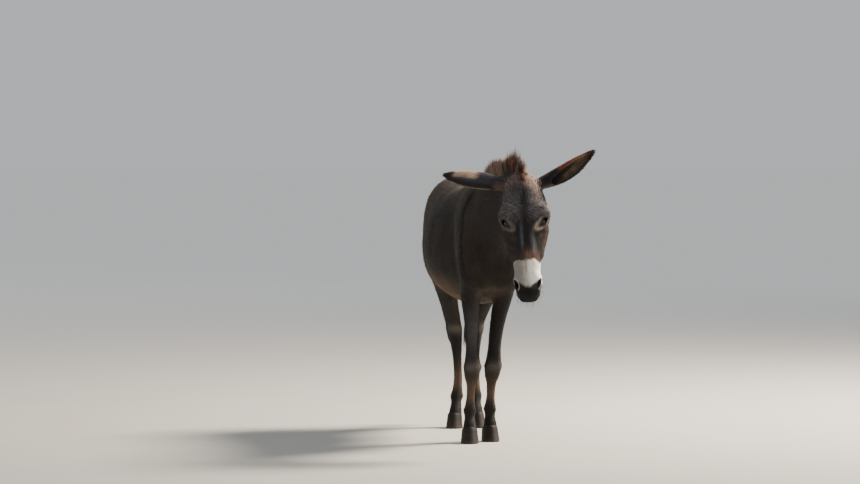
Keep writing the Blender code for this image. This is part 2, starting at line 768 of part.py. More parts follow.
def flesh_plates():
    plates = [
        # neck from trunk, head from neck
        plate((0.0, -0.395, 0.930), (0, -0.768, 0.640), (0, 0.64, 0.768), 0.22, 0.25, PLATE),
        plate((0.066, -0.700, 1.000), (0, -0.965, -0.261), (0, -0.261, 0.965), 0.14, 0.19, PLATE),
        # tail root and tassel
        plate((0.003, 0.586, 0.950), (0, 1, 0), (0, 0, 1), 0.050, 0.070, PLATE),
        plate((0.050, 0.634, TAIL_CUT_HEIGHT), (0, 0, 1), (0, 1, 0), 0.045, 0.045, PLATE),
    ]
    for name in STANCE:
        fore = name.startswith("fore")
        x, shift = stance_at(name, 0.565)
        middle = -0.313 if fore else 0.400
        plates.append(plate((x, middle + shift, 0.562), (0, 0, 1), (0, 1, 0), 0.070, 0.130, PLATE))
        height = 0.305 if fore else 0.425
        x, shift = stance_at(name, height)
        middle = -0.310 if fore else 0.490
        plates.append(plate((x, middle + shift, height), (0, 0, 1), (0, 1, 0), 0.043, 0.075, PLATE))
    return plates


def loose_pieces(obj):
    work = bmesh.new()
    work.from_mesh(obj.data)
    work.verts.ensure_lookup_table()
    seen = set()
    groups = []
    for vert in work.verts:
        if vert.index in seen:
            continue
        stack = [vert]
        seen.add(vert.index)
        group = []
        while stack:
            v = stack.pop()
            group.append(v)
            for edge in v.link_edges:
                other = edge.other_vert(v)
                if other.index not in seen:
                    seen.add(other.index)
                    stack.append(other)
        groups.append(group)
    pieces = []
    for group in groups:
        number = {v.index: i for i, v in enumerate(group)}
        faces = {f for v in group for f in v.link_faces}
        faces = sorted(faces, key=lambda f: f.index)
        points = [tuple(v.co) for v in group]
        pieces.append((points, [[number[v.index] for v in f.verts] for f in faces]))
    work.free()
    return pieces


def leg_seed(name, height):
    rows = FORELEG if name.startswith("fore") else HIND_LEG
    heights, edges = smooth_curve(sorted((r[0], r[1], r[2]) for r in rows))
    x, shift = stance_at(name, height)
    y = (np.interp(height, heights, edges[:, 0]) + np.interp(height, heights, edges[:, 1])) / 2
    return (x, y + shift, height)


def seeds():
    """A point well inside every flesh node."""
    found = {
        "trunk": (0.0, 0.05, 0.82),
        "neck": (0.03, -0.55, 0.96),
        "head": tuple(on_head(0, -0.02, 0.20)),
        "tail_dock": (0.03, 0.620, 0.76),
        "tail_tassel": (0.055, 0.632, 0.44),
    }
    for name in STANCE:
        end, side = name.split("_")
        found[end + "leg_" + side + "_upper"] = leg_seed(name, 0.45 if end == "fore" else 0.50)
        found[end + "leg_" + side + "_lower"] = leg_seed(name, 0.17)
    return found


def middle_of(points):
    points = np.array(points)
    return (points.min(0) + points.max(0)) / 2


def give_material(obj):
    kind = next(key for key in COLOURS if key in obj.name)
    colour, roughness = COLOURS[kind]
    linear = []
    for i in (1, 3, 5):
        c = int(colour[i:i + 2], 16) / 255
        linear.append(c / 12.92 if c <= 0.04045 else ((c + 0.055) / 1.055) ** 2.4)
    material = bpy.data.materials.new(obj.name)
    material.use_nodes = True
    shader = material.node_tree.nodes["Principled BSDF"]
    shader.inputs["Base Color"].default_value = (*linear, 1.0)
    shader.inputs["Roughness"].default_value = roughness
    shader.inputs["Metallic"].default_value = 0.0
    obj.data.materials.clear()
    obj.data.materials.append(material)


def build():
    start_empty()
    flesh = solid("flesh", body_field(), (-0.30, -1.08, -0.02), (0.30, 0.72, 1.16),
                  BODY_CELL, BODY_TRIANGLES)
    kept = [mane(), ear("left"), ear("right"), eyeball(1), eyeball(-1)]
    for obj in list(kept):
        cut(flesh, swollen(obj, GAP))
    cut(flesh, plates_object("plates", flesh_plates() + [foot_block(n) for n in STANCE]))
    places = seeds()
    for points, faces in loose_pieces(flesh):
        middle = middle_of(points)
        name = min(places, key=lambda k: np.linalg.norm(middle - np.array(places[k])))
        kept.append(new_object(name, points, faces))
    bpy.data.objects.remove(flesh)
    for name in STANCE:
        kept.append(hoof(name))
    corners = np.array([v.co for obj in kept for v in obj.data.vertices])
    middle = (corners.min(0) + corners.max(0)) / 2
    for obj in kept:
        for vert in obj.data.vertices:
            vert.co.x -= middle[0]
            vert.co.y -= middle[1]
        obj.data.shade_smooth()
        obj.data.set_sharp_from_angle(angle=math.radians(50))
        give_material(obj)


build()
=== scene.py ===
"""Looks of the life-size donkey: one skin with its coat of mesh tufts, mane, tail, eyes and hooves.

The donkey faces -Y and its left side is +X.  The skin is meshed from the same
shapes as the solids, sunk by the depth of the coat, with the folds of lids,
nostrils and lips added.  Tufts, locks and lashes are rooted on that skin and
take their colour from the marking under their root.
"""

import math

import bmesh
import bpy
import numpy as np
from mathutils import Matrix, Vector


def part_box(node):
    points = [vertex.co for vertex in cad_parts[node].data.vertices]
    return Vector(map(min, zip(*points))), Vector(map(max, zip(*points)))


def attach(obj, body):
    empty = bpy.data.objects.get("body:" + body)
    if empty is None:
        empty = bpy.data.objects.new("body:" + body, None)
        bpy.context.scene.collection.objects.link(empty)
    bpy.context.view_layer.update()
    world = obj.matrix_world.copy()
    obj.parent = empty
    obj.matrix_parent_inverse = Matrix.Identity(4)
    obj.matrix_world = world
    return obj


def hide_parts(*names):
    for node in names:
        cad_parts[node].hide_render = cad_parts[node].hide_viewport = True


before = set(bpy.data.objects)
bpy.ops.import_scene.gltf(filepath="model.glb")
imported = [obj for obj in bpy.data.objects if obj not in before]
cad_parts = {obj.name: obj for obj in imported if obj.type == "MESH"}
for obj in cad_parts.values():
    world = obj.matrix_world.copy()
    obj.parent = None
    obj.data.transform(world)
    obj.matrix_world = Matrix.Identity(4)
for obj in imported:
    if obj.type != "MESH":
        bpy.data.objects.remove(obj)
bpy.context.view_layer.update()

# --- Sizes of the animal, in metres ---
POLL = (0.068, -0.8, 1.08)
HEAD_TILT = math.radians(22.0)
HEAD_TURN = math.radians(9.0)
HEAD_ROLL = math.radians(3.5)
NECK_ROOT = (0.0, -0.3, 0.87)
NECK_RISE = math.radians(17.0)
EYE_RADIUS = 0.019
EYE_PLACE = (0.0655, 0.029, 0.19)
HOOF_HEIGHT = 0.058
BODY_CELL = 0.0104
HEAD_CELL = 0.0034
EAR_COAT = 0.0006             # depth of the coat on the ears
DOCK_END = 0.44               # height where the dock ends inside the tassel
LIP_LENGTH = 0.1              # of the line between the lips, from front to corner
SIDES = (1, -1)               # the animal's left and right
NOSTRIL_REACH = 0.024         # finer mesh and bare skin as far round a nostril as this
COAT_ENDS = 0.056             # height where the coat ends, inside the hooves
HEAD_FROM = -0.62             # place along the body where the folds of the head begin
FOLDS_WITHIN = 0.05           # folds are worked out this near to the surface
NECK_SEAM = -0.66             # where the fine mesh of the head meets the body's

# Trunk, from chest to buttock: y, side, height of centre, half width, up, down
TRUNK = [
    (-0.52, 0, 0.765, 0.028, 0.045, 0.045), (-0.495, 0, 0.77, 0.064, 0.105, 0.085),
    (-0.45, 0, 0.78, 0.092, 0.17, 0.135), (-0.38, 0, 0.795, 0.108, 0.232, 0.19),
    (-0.28, 0, 0.805, 0.12, 0.273, 0.223), (-0.18, 0, 0.8, 0.15, 0.285, 0.232),
    (-0.05, 0, 0.79, 0.194, 0.272, 0.235), (0.08, 0, 0.785, 0.218, 0.27, 0.234),
    (0.2, 0, 0.79, 0.216, 0.28, 0.228), (0.31, 0, 0.815, 0.192, 0.277, 0.214),
    (0.4, 0, 0.855, 0.165, 0.237, 0.19), (0.48, 0, 0.875, 0.134, 0.195, 0.15),
    (0.54, 0, 0.885, 0.092, 0.135, 0.11), (0.57, 0, 0.89, 0.038, 0.06, 0.05)]

# Neck, from root to poll: distance, side, up, half width, half height up, down
NECK = [
    (-0.05, 0, 0, 0.118, 0.205, 0.215), (0.08, 0.002, 0, 0.104, 0.192, 0.2),
    (0.2, 0.012, 0.004, 0.088, 0.162, 0.16), (0.32, 0.031, 0.006, 0.075, 0.138, 0.128),
    (0.43, 0.052, 0.004, 0.067, 0.12, 0.108), (0.53, 0.066, 0, 0.06, 0.1, 0.08)]

# Skull, from poll to lips: distance, side, towards face, half width, face, jaw
SKULL = [
    (-0.035, 0, -0.05, 0.036, 0.05, 0.04), (0, 0, -0.04, 0.064, 0.074, 0.06),
    (0.05, 0, -0.03, 0.082, 0.08, 0.08), (0.11, 0, -0.02, 0.091, 0.078, 0.095),
    (0.17, 0, -0.012, 0.088, 0.069, 0.097), (0.23, 0, -0.006, 0.076, 0.059, 0.09),
    (0.29, 0, 0, 0.064, 0.049, 0.076), (0.35, 0, 0, 0.0555, 0.042, 0.064),
    (0.4, 0, -0.003, 0.051, 0.039, 0.056), (0.438, 0, -0.008, 0.05, 0.037, 0.049),
    (0.471, 0, -0.016, 0.043, 0.03, 0.038), (0.497, 0, -0.024, 0.028, 0.018, 0.024)]

# Foreleg seen from the side: height, front edge, back edge, half width
FORELEG = [
    (0.76, -0.475, -0.25, 0.044), (0.69, -0.45, -0.232, 0.048), (0.63, -0.412, -0.228, 0.045),
    (0.57, -0.388, -0.238, 0.04), (0.51, -0.37, -0.252, 0.035), (0.45, -0.357, -0.262, 0.0318),
    (0.39, -0.347, -0.27, 0.03), (0.35, -0.348, -0.272, 0.0325), (0.305, -0.35, -0.27, 0.0362),
    (0.268, -0.341, -0.268, 0.0315), (0.235, -0.333, -0.277, 0.0222),
    (0.19, -0.331, -0.279, 0.0195), (0.158, -0.333, -0.276, 0.022),
    (0.132, -0.336, -0.274, 0.0262), (0.105, -0.34, -0.288, 0.0228),
    (0.078, -0.353, -0.298, 0.0265), (0.04, -0.368, -0.304, 0.031), (0.028, -0.371, -0.306, 0.031)]

# Hind leg seen from the side: height, front edge, back edge, half width
HIND_LEG = [
    (0.9, 0.25, 0.545, 0.056), (0.82, 0.222, 0.56, 0.064), (0.74, 0.206, 0.552, 0.064),
    (0.68, 0.208, 0.535, 0.058), (0.62, 0.24, 0.514, 0.05), (0.56, 0.292, 0.506, 0.043),
    (0.51, 0.35, 0.517, 0.039), (0.475, 0.392, 0.538, 0.0375), (0.45, 0.418, 0.544, 0.036),
    (0.415, 0.436, 0.538, 0.0335), (0.38, 0.446, 0.525, 0.0305), (0.34, 0.452, 0.514, 0.0255),
    (0.29, 0.457, 0.507, 0.0215), (0.21, 0.454, 0.502, 0.0205), (0.165, 0.45, 0.502, 0.023),
    (0.138, 0.444, 0.503, 0.027), (0.108, 0.434, 0.484, 0.0235), (0.078, 0.418, 0.474, 0.0275),
    (0.04, 0.402, 0.466, 0.031), (0.028, 0.4, 0.464, 0.031)]

# How each leg stands: height, side, shift along the body
STANCE = {
    "fore_right": [
        (0.76, -0.078, 0), (0.61, -0.078, -0.005), (0.54, -0.075, -0.01), (0.46, -0.072, -0.015),
        (0.385, -0.071, -0.02), (0.305, -0.072, -0.026), (0.235, -0.076, -0.028),
        (0.132, -0.083, -0.034), (0.028, -0.089, -0.042)],
    "fore_left": [
        (0.76, 0.078, 0), (0.61, 0.062, 0.01), (0.54, 0.048, 0.016), (0.46, 0.034, 0.022),
        (0.385, 0.027, 0.028), (0.305, 0.022, 0.034), (0.235, 0.016, 0.038), (0.132, 0.011, 0.044),
        (0.028, 0.009, 0.05)],
    "hind_right": [
        (0.9, -0.1, 0), (0.74, -0.116, 0), (0.62, -0.096, 0), (0.53, -0.072, -0.004),
        (0.43, -0.044, -0.01), (0.34, -0.033, -0.012), (0.21, -0.028, -0.014),
        (0.108, -0.038, -0.016), (0.028, -0.05, -0.018)],
    "hind_left": [
        (0.9, 0.1, 0), (0.74, 0.118, 0), (0.62, 0.1, 0.002), (0.53, 0.076, 0.004),
        (0.43, 0.054, 0.006), (0.34, 0.049, 0.006), (0.21, 0.05, 0.006), (0.108, 0.05, 0.006),
        (0.028, 0.052, 0.006)],
}
TOE_OUT = {"fore_right": -6.0, "fore_left": 3.0, "hind_right": -12.0, "hind_left": 12.0}

# Tail: point on its middle line and thickness there
TAIL = [
    ((0, 0.54, 0.985), 0.032), ((0.004, 0.596, 0.945), 0.026), ((0.016, 0.622, 0.85), 0.02),
    ((0.036, 0.632, 0.72), 0.016), ((0.05, 0.634, 0.6), 0.016), ((0.055, 0.632, 0.45), 0.027),
    ((0.055, 0.626, 0.32), 0.012)]

# Ear, from root to tip: distance, half width, depth of back, depth of rims,
# angle the rims curl in by, wall, how far hollowed out
EAR = [
    (-0.02, 0.02, 0.018, 0.018, 30, 0.006, 0), (0.01, 0.025, 0.024, 0.024, 35, 0.006, 0),
    (0.035, 0.0295, 0.0265, 0.024, 45, 0.006, 0.15), (0.06, 0.034, 0.0285, 0.021, 45, 0.006, 0.8),
    (0.085, 0.0385, 0.029, 0.018, 38, 0.006, 1), (0.115, 0.0415, 0.028, 0.015, 30, 0.0058, 1),
    (0.15, 0.0425, 0.0255, 0.012, 25, 0.0056, 1), (0.185, 0.039, 0.022, 0.01, 22, 0.0054, 1),
    (0.215, 0.0315, 0.0175, 0.0085, 20, 0.005, 1), (0.24, 0.0235, 0.013, 0.007, 18, 0.0046, 1),
    (0.26, 0.015, 0.009, 0.0055, 15, 0.0042, 0.9), (0.275, 0.007, 0.005, 0.0035, 12, 0.003, 0.2)]
EAR_ROOTS = {"right": (-0.055, 0.015, 1.062), "left": (0.062, 0.015, 1.066)}
EAR_TIPS = {"right": (-0.322, 0.085, 1.105), "left": (0.248, 0.08, 1.177)}
EAR_SAG = {"right": 0.0, "left": 0.021}
# Direction the back of each ear faces
EAR_BACKS = {"right": (0.0, -0.8, 0.6), "left": (-0.3, 0.8, 0.52)}

# Mane: crest of the neck to forelock, as point and height of the hair above it
MANE = [
    ((0, -0.28, 1.06), 0.06), ((0.004, -0.34, 1.066), 0.095), ((0.012, -0.43, 1.072), 0.102),
    ((0.024, -0.53, 1.08), 0.1), ((0.042, -0.64, 1.086), 0.112), ((0.055, -0.71, 1.09), 0.108),
    ((0.064, -0.78, 1.092), 0.076), ((0.067, -0.838, 1.07), 0.045)]


# --- Shapes: functions that are negative inside and positive outside ---
FAR = 0.12                    # past its box by this much, a shape isn't worked out


def unit(v):
    v = np.array(v, float)
    return v / np.linalg.norm(v)


def smooth_curve(rows, samples=400):
    """Even samples of a curve through the rows that never overshoots them."""
    rows = np.array(rows, float)
    s = rows[:, 0]
    gaps = np.diff(s)
    slopes = np.diff(rows[:, 1:], axis=0) / gaps[:, None]
    left, right = slopes[:-1], slopes[1:]
    w1, w2 = (2 * gaps[1:] + gaps[:-1])[:, None], (gaps[1:] + 2 * gaps[:-1])[:, None]
    same = left * right > 0
    inner = (w1 + w2) / (w1 / np.where(same, left, 1.0) + w2 / np.where(same, right, 1.0))
    bend = np.vstack([slopes[:1], np.where(same, inner, 0.0), slopes[-1:]])
    at = np.linspace(s[0], s[-1], samples)
    i = np.clip(np.searchsorted(s, at, side="right") - 1, 0, len(s) - 2)
    h = gaps[i][:, None]
    t = ((at - s[i]) / gaps[i])[:, None]
    value = (1 + 2 * t) * (1 - t) ** 2 * rows[i, 1:]
    value += t * (1 - t) ** 2 * h * bend[i]
    value += t * t * (3 - 2 * t) * rows[i + 1, 1:]
    value += t * t * (t - 1) * h * bend[i + 1]
    return at, value


def read_curve(curve, where):
    """Values of a smooth curve at places along it, one array per column."""
    at, table = curve
    return [np.interp(where, at, column) for column in table.T]


def length_of(*parts):
    """Lengths of vectors, from their parts."""
    return np.sqrt(sum(part * part for part in parts))


def step(x, low, high):
    """Smooth step from 0 at low to 1 at high."""
    t = np.clip((x - low) / (high - low), 0, 1)
    return t * t * (3 - 2 * t)


def fall(x, low, high):
    """Smooth step from 1 at low to 0 at high."""
    return 1 - step(x, low, high)


def bump(x, middle, width):
    """Bell that is 1 at the middle."""
    return np.exp(-((x - middle) / width) ** 2)


def join(a, b, blend):
    """Union of two shapes with a soft fillet."""
    h = np.maximum(blend - np.abs(a - b), 0) / blend
    return np.minimum(a, b) - h * h * blend * 0.25


def common(a, b, blend):
    return -join(-a, -b, blend)


def ellipse_distance(x, y, half_x, half_y):
    k0 = np.sqrt((x / half_x) ** 2 + (y / half_y) ** 2)
    k1 = np.sqrt((x / half_x ** 2) ** 2 + (y / half_y ** 2) ** 2) + 1e-6
    return np.where(k0 < 0.02, -np.minimum(half_x, half_y), k0 * (k0 - 1) / k1)


class Axes:
    """A local frame: side, up and along."""

    def __init__(self, origin, along, up):
        self.origin = np.array(origin, float)
        self.along = unit(along)
        self.side = unit(np.cross(self.along, unit(up)))
        self.up = np.cross(self.side, self.along)

    def local(self, p):
        q = p - self.origin
        return q @ self.side, q @ self.up, q @ self.along

    def point(self, side, up, along):
        return self.origin + side * self.side + up * self.up + along * self.along


def boxed(shape, corners, reach):
    """Keep the box a shape lies in, so that far points can skip it."""
    corners = np.array(corners, float)
    shape.low = corners.min(0) - reach - FAR
    shape.high = corners.max(0) + reach + FAR
    return shape


def loft(axes, rows, end):
    """Ellipses along an axis: distance, side, up, half side, half up, half down."""
    at, table = curve = smooth_curve(rows)

    def shape(p):
        x, n, s = axes.local(p)
        side, up, half, above, below = read_curve(curve, np.clip(s, at[0], at[-1]))
        dn = n - up
        d = ellipse_distance(x - side, dn, half, np.where(dn > 0, above, below))
        return common(d, np.maximum(at[0] - s, s - at[-1]), end)
    corners = [axes.point(row[0] + i * row[2], row[1] + high, s) for s, row in zip(at, table)
               for i in (-1, 1) for high in (row[3], -row[4])]
    return boxed(shape, corners, 0.0)


def egg(centre, radii, along=(0, 1, 0), up=(0, 0, 1)):
    """Ellipsoid with radii across, up and along."""
    axes = Axes(centre, along, up)
    a, b, c = radii

    def shape(p):
        x, n, s = axes.local(p)
        k0 = np.sqrt((x / a) ** 2 + (n / b) ** 2 + (s / c) ** 2)
        k1 = np.sqrt((x / a ** 2) ** 2 + (n / b ** 2) ** 2 + (s / c ** 2) ** 2) + 1e-6
        return np.where(k0 < 0.02, -min(a, b, c), k0 * (k0 - 1) / k1)
    return boxed(shape, [centre], max(radii))


def cone(start, stop, start_radius, stop_radius):
    """Round cone between two points."""
    start = np.array(start, float)
    reach = np.array(stop, float) - start

    def shape(p):
        t = np.clip(((p - start) @ reach) / (reach @ reach), 0, 1)
        q = p - start - t[..., None] * reach
        return np.sqrt((q * q).sum(-1)) - (start_radius + (stop_radius - start_radius) * t)
    return boxed(shape, [start, stop], max(start_radius, stop_radius))


def near_box(shape, p):
    return ((p > shape.low) & (p < shape.high)).all(1)


def blend_all(shapes):
    """One shape from a list of (shape, fillet)."""
    def shape(p):
        total = np.full(len(p), 0.5)
        for piece, fillet in shapes:
            near = near_box(piece, p)
            if near.any():
                d = piece(p[near])
                total[near] = join(total[near], d, fillet) if fillet else np.minimum(total[near], d)
        return total
    corners = [c for piece, _ in shapes for c in (piece.low + FAR, piece.high - FAR)]
    return boxed(shape, corners, 0.0)


# --- The head's own directions ---
UPWARD = np.array([0.0, 0.0, 1.0])
FACING = np.array([-math.sin(HEAD_TURN), -math.cos(HEAD_TURN), 0.0])
LEVEL_LEFT = np.array([math.cos(HEAD_TURN), -math.sin(HEAD_TURN), 0.0])
LEFTWARD = math.cos(HEAD_ROLL) * LEVEL_LEFT + math.sin(HEAD_ROLL) * UPWARD
CROWN = math.cos(HEAD_ROLL) * UPWARD - math.sin(HEAD_ROLL) * LEVEL_LEFT
HEAD = Axes(
    POLL,
    math.sin(HEAD_TILT) * FACING - math.cos(HEAD_TILT) * CROWN,
    math.cos(HEAD_TILT) * FACING + math.sin(HEAD_TILT) * CROWN,
)


def on_head(side, face, down):
    """Point of the head: towards its left, out of the face, down to the lips."""
    return HEAD.origin + side * LEFTWARD + face * HEAD.up + down * HEAD.along


def in_head(p):
    """How far points lie to the head's left, out of the face and down to the lips."""
    q = p - HEAD.origin
    return q @ LEFTWARD, q @ HEAD.up, q @ HEAD.along


def head_direction(side, face, down):
    return unit(side * LEFTWARD + face * HEAD.up + down * HEAD.along)


# the solids stand over the middle of their own box, the shapes here don't
EYE_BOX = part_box("eye_left")
SHIFT = (np.array(EYE_BOX[0]) + np.array(EYE_BOX[1])) / 2 - on_head(*EYE_PLACE)
SHIFT[2] = 0.0


# --- Flesh ---
STANCE_CURVES = {name: smooth_curve(sorted(rows)) for name, rows in STANCE.items()}
LEG_ROWS = {"fore": FORELEG, "hind": HIND_LEG}
LEG_EDGES = {kind: smooth_curve(sorted(row[:3] for row in rows)) for kind, rows in LEG_ROWS.items()}


def stance_at(name, z):
    """Side of a leg's middle and its shift along the body, at a height."""
    return read_curve(STANCE_CURVES[name], z)


def leg_edges(name, z):
    """Front and back edge of a leg at a height."""
    shift = stance_at(name, z)[1]
    front, back = read_curve(LEG_EDGES[name[:4]], z)
    return front + shift, back + shift


def on_leg(name, p, side_room, end_room):
    """Whether points are beside this leg, how far across it, and their share from front to back."""
    across = p[:, 0] - stance_at(name, p[:, 2])[0]
    front, back = leg_edges(name, p[:, 2])
    y = p[:, 1]
    near = (np.abs(across) < side_room) & (y > front - end_room) & (y < back + end_room)
    return near, across, (y - front) / (back - front)


def leg_loft(name):
    rows = LEG_ROWS[name[:4]]
    top = rows[0][0]
    table = []
    for z, front, back, half in rows:
        x, shift = stance_at(name, z)
        deep = (back - front) / 2
        table.append((top - z, -x, -(front + back) / 2 - shift, half, deep, deep))
    return loft(Axes((0, 0, top), (0, 0, -1), (0, -1, 0)), table, 0.004)


TRUNK_AXES = Axes((0, 0, 0), (0, 1, 0), (0, 0, 1))
NECK_AXES = Axes(NECK_ROOT, (0, -math.cos(NECK_RISE), math.sin(NECK_RISE)), (0, 0, 1))


NECK_SHAPE = loft(NECK_AXES, [(s, -left, *rest) for s, left, *rest in NECK], 0.03)


# Muscles on both sides of the trunk: centre, radii, direction, fillet
MUSCLES = [
    # shoulder blade, upper arm and breast
    ((0.066, -0.32, 0.86), (0.05, 0.175, 0.105), (0, 1, -0.35), 0.06),
    ((0.078, -0.4, 0.745), (0.046, 0.095, 0.085), (0, 1, 0), 0.06),
    ((0.046, -0.44, 0.72), (0.05, 0.075, 0.065), (0, 1, 0), 0.05),
    # haunch, thigh, buttock and stifle
    ((0.088, 0.375, 0.88), (0.09, 0.165, 0.16), (0, 1, 0), 0.06),
    ((0.102, 0.33, 0.745), (0.07, 0.14, 0.13), (0, 1, 0), 0.06),
    ((0.084, 0.468, 0.77), (0.062, 0.15, 0.09), (0, 1, 0), 0.06),
    ((0.116, 0.245, 0.69), (0.044, 0.06, 0.08), (0, 1, 0), 0.05),
]


def trunk_shapes():
    shapes = [(loft(TRUNK_AXES, TRUNK, 0.02), 0.0), (NECK_SHAPE, 0.05)]
    return shapes + [(egg((side * x, y, z), radii, along), fillet)
                     for side in (-1, 1) for (x, y, z), radii, along, fillet in MUSCLES]


def leg_shapes(name):
    shapes = [(leg_loft(name), 0.028)]
    if name.startswith("hind"):
        x, shift = stance_at(name, 0.455)
        up_x = stance_at(name, 0.6)[0]
        point = (x, 0.532 + shift, 0.462)
        # point of the hock and the sinew above it
        shapes += [(cone(point, (x, 0.512 + shift, 0.385), 0.017, 0.017), 0.025),
                   (cone(point, (up_x, 0.492 + shift, 0.6), 0.013, 0.024), 0.03)]
    return shapes


def head_egg(place, radii):
    return egg(on_head(*place), radii, HEAD.along, HEAD.up)


def head_shapes():
    shapes = [(loft(HEAD, SKULL, 0.01), 0.0)]
    for side in (-1, 1):
        cheek_back = on_head(side * 0.072, -0.01, 0.215)
        cheek_front = on_head(side * 0.054, -0.014, 0.31)
        shapes += [
            # round of the jaw, brow over the eye, cheek bone and nostril
            (head_egg((side * 0.049, -0.07, 0.16), (0.043, 0.08, 0.116)), 0.03),
            (head_egg((side * 0.068, 0.022, 0.155), (0.036, 0.032, 0.037)), 0.04),
            (cone(cheek_back, cheek_front, 0.016, 0.013), 0.03),
            (head_egg((side * 0.03, 0.004, 0.428), (0.025, 0.027, 0.038)), 0.02),
        ]
    shapes += [
        # chin and upper lip
        (head_egg((0, -0.046, 0.44), (0.032, 0.022, 0.036)), 0.02),
        (head_egg((0, -0.012, 0.47), (0.04, 0.03, 0.03)), 0.02),
    ]
    return shapes


def tail_shapes():
    """The dock only, since the tassel is hair."""
    return [(cone(start, stop, r0, min(r1, r0)), 0.01)
            for (start, r0), (stop, r1) in zip(TAIL[:-1], TAIL[1:]) if stop[2] >= DOCK_END]


# --- Ears ---
def ear_axes(which):
    ends = []
    for left, back, height in (EAR_ROOTS[which], EAR_TIPS[which]):
        end = np.array(POLL) + left * LEVEL_LEFT - back * FACING
        end[2] = height
        ends.append(end)
    axes = Axes(ends[0], ends[1] - ends[0], EAR_BACKS[which])
    axes.down = -EAR_SAG[which] if axes.side[2] > 0 else EAR_SAG[which]
    return axes


EAR_FRAMES = {which: ear_axes(which) for which in EAR_ROOTS}
EAR_LENGTH = EAR[-1][0]
EAR_CURVE = smooth_curve(EAR)
EAR_FLOOR = 0.045             # the cup is filled by this much where the ear is solid


def in_ear(which, p):
    """Across, towards the back and along an ear, with its bow taken out."""
    axes = EAR_FRAMES[which]
    x, y, s = axes.local(p)
    return x - axes.down * np.sin(math.pi * np.clip(s / EAR_LENGTH, 0, 1)), y, s


def ear_shape(which):
    """A cupped leaf, solid at its root, open towards the side away from its back."""
    root, tip = EAR_CURVE[0][0], EAR_CURVE[0][-1]

    def shape(p):
        x, y, s = in_ear(which, p)
        wide, back, rim, curl, wall, hollow = read_curve(EAR_CURVE, np.clip(s, root, tip))
        outside = ellipse_distance(x, y, wide, np.where(y > 0, back, rim)) + EAR_COAT
        thick = np.maximum(wall - 2 * EAR_COAT, 0.0064)
        # the cup is scooped out from its open side, to full depth where the ear is hollow
        scoop = ellipse_distance(x, np.maximum(y, 0.0), wide, back) + EAR_COAT + thick
        scoop = scoop + (1 - hollow) * EAR_FLOOR
        mouth = y + rim * np.sin(np.radians(curl)) + (1 - hollow) * EAR_FLOOR
        cup = common(outside, -np.minimum(scoop, mouth), 0.002)
        # a rolled rim along both edges
        edge_x = (wide - 0.5 * thick - EAR_COAT) * np.cos(np.radians(curl))
        edge_y = -(rim - 0.5 * thick - EAR_COAT) * np.sin(np.radians(curl))
        bead = np.sqrt((np.abs(x) - edge_x) ** 2 + (y - edge_y) ** 2) - 0.0033 * hollow
        cup = join(cup, bead, 0.003)
        return common(cup, np.maximum(root - s, s - tip + EAR_COAT), 0.003)
    axes = EAR_FRAMES[which]
    return boxed(shape, [axes.point(0, 0, s) for s in (root, tip)], 0.045)


# --- Depth of the coat, and the folds of the skin under it ---
def coat_depth(p):
    """How far the skin lies under the tips of the coat."""
    depth = 0.002 + 0.0028 * step(p[:, 2], 0.1, 0.62)
    down = in_head(p)[2]
    on_face = step(-p[:, 1], 0.7, 0.8)
    face_depth = 0.0045 - 0.0033 * step(down, 0.2, 0.38)
    return depth + (face_depth - depth) * on_face


def slit_frame(side, out, slit):
    """Directions of a slit in the head: along it at right angles to out, across it, and out."""
    out = head_direction(side * out[0], *out[1:])
    slit = head_direction(side * slit[0], *slit[1:])
    slit = unit(slit - (slit @ out) * out)
    return slit, np.cross(slit, out), out


def eye_axes(side):
    """Frame of an eye: along its slit to the inner corner, up to the brow, out of the head."""
    slit, brow, out = slit_frame(side, (0.76, 0.64, -0.08), (-0.52, 0.42, 0.8))
    brow = brow * -side
    if brow @ HEAD.along > 0:
        brow = -brow
    return on_head(side * EYE_PLACE[0], EYE_PLACE[1], EYE_PLACE[2]), slit, brow, out


EYES = {side: eye_axes(side) for side in SIDES}
SLIT_LENGTH = 0.0186          # half
UPPER_LID = 0.01
LOWER_LID = 0.0082
LID = 0.003                   # thickness of the lids over the eyeball


def in_eye(side, p):
    centre, slit, brow, out = EYES[side]
    q = p - centre
    return q @ slit, q @ brow, q @ out


def lid_gap(a, b):
    """Distance from the almond between the lids, in the plane of the eye."""
    reach = 1 - np.clip(np.abs(a) / SLIT_LENGTH, 0, 1.6) ** 2
    edge = np.where(b > 0, UPPER_LID, LOWER_LID) * reach
    return np.maximum(np.abs(b) - edge, (np.abs(a) - SLIT_LENGTH) * 0.8)


def mouth_line(f, s):
    """Distance across the line between the lips, and how far it has run back from the front."""
    front, corner = np.array([-0.022, 0.496]), np.array([-0.056, 0.402])
    along = (corner - front) / np.linalg.norm(corner - front)
    u = (f - front[0]) * along[0] + (s - front[1]) * along[1]
    v = -(f - front[0]) * along[1] + (s - front[1]) * along[0]
    return v - 0.004 * np.sin(np.clip(u / LIP_LENGTH, 0, 1) * math.pi), u / LIP_LENGTH


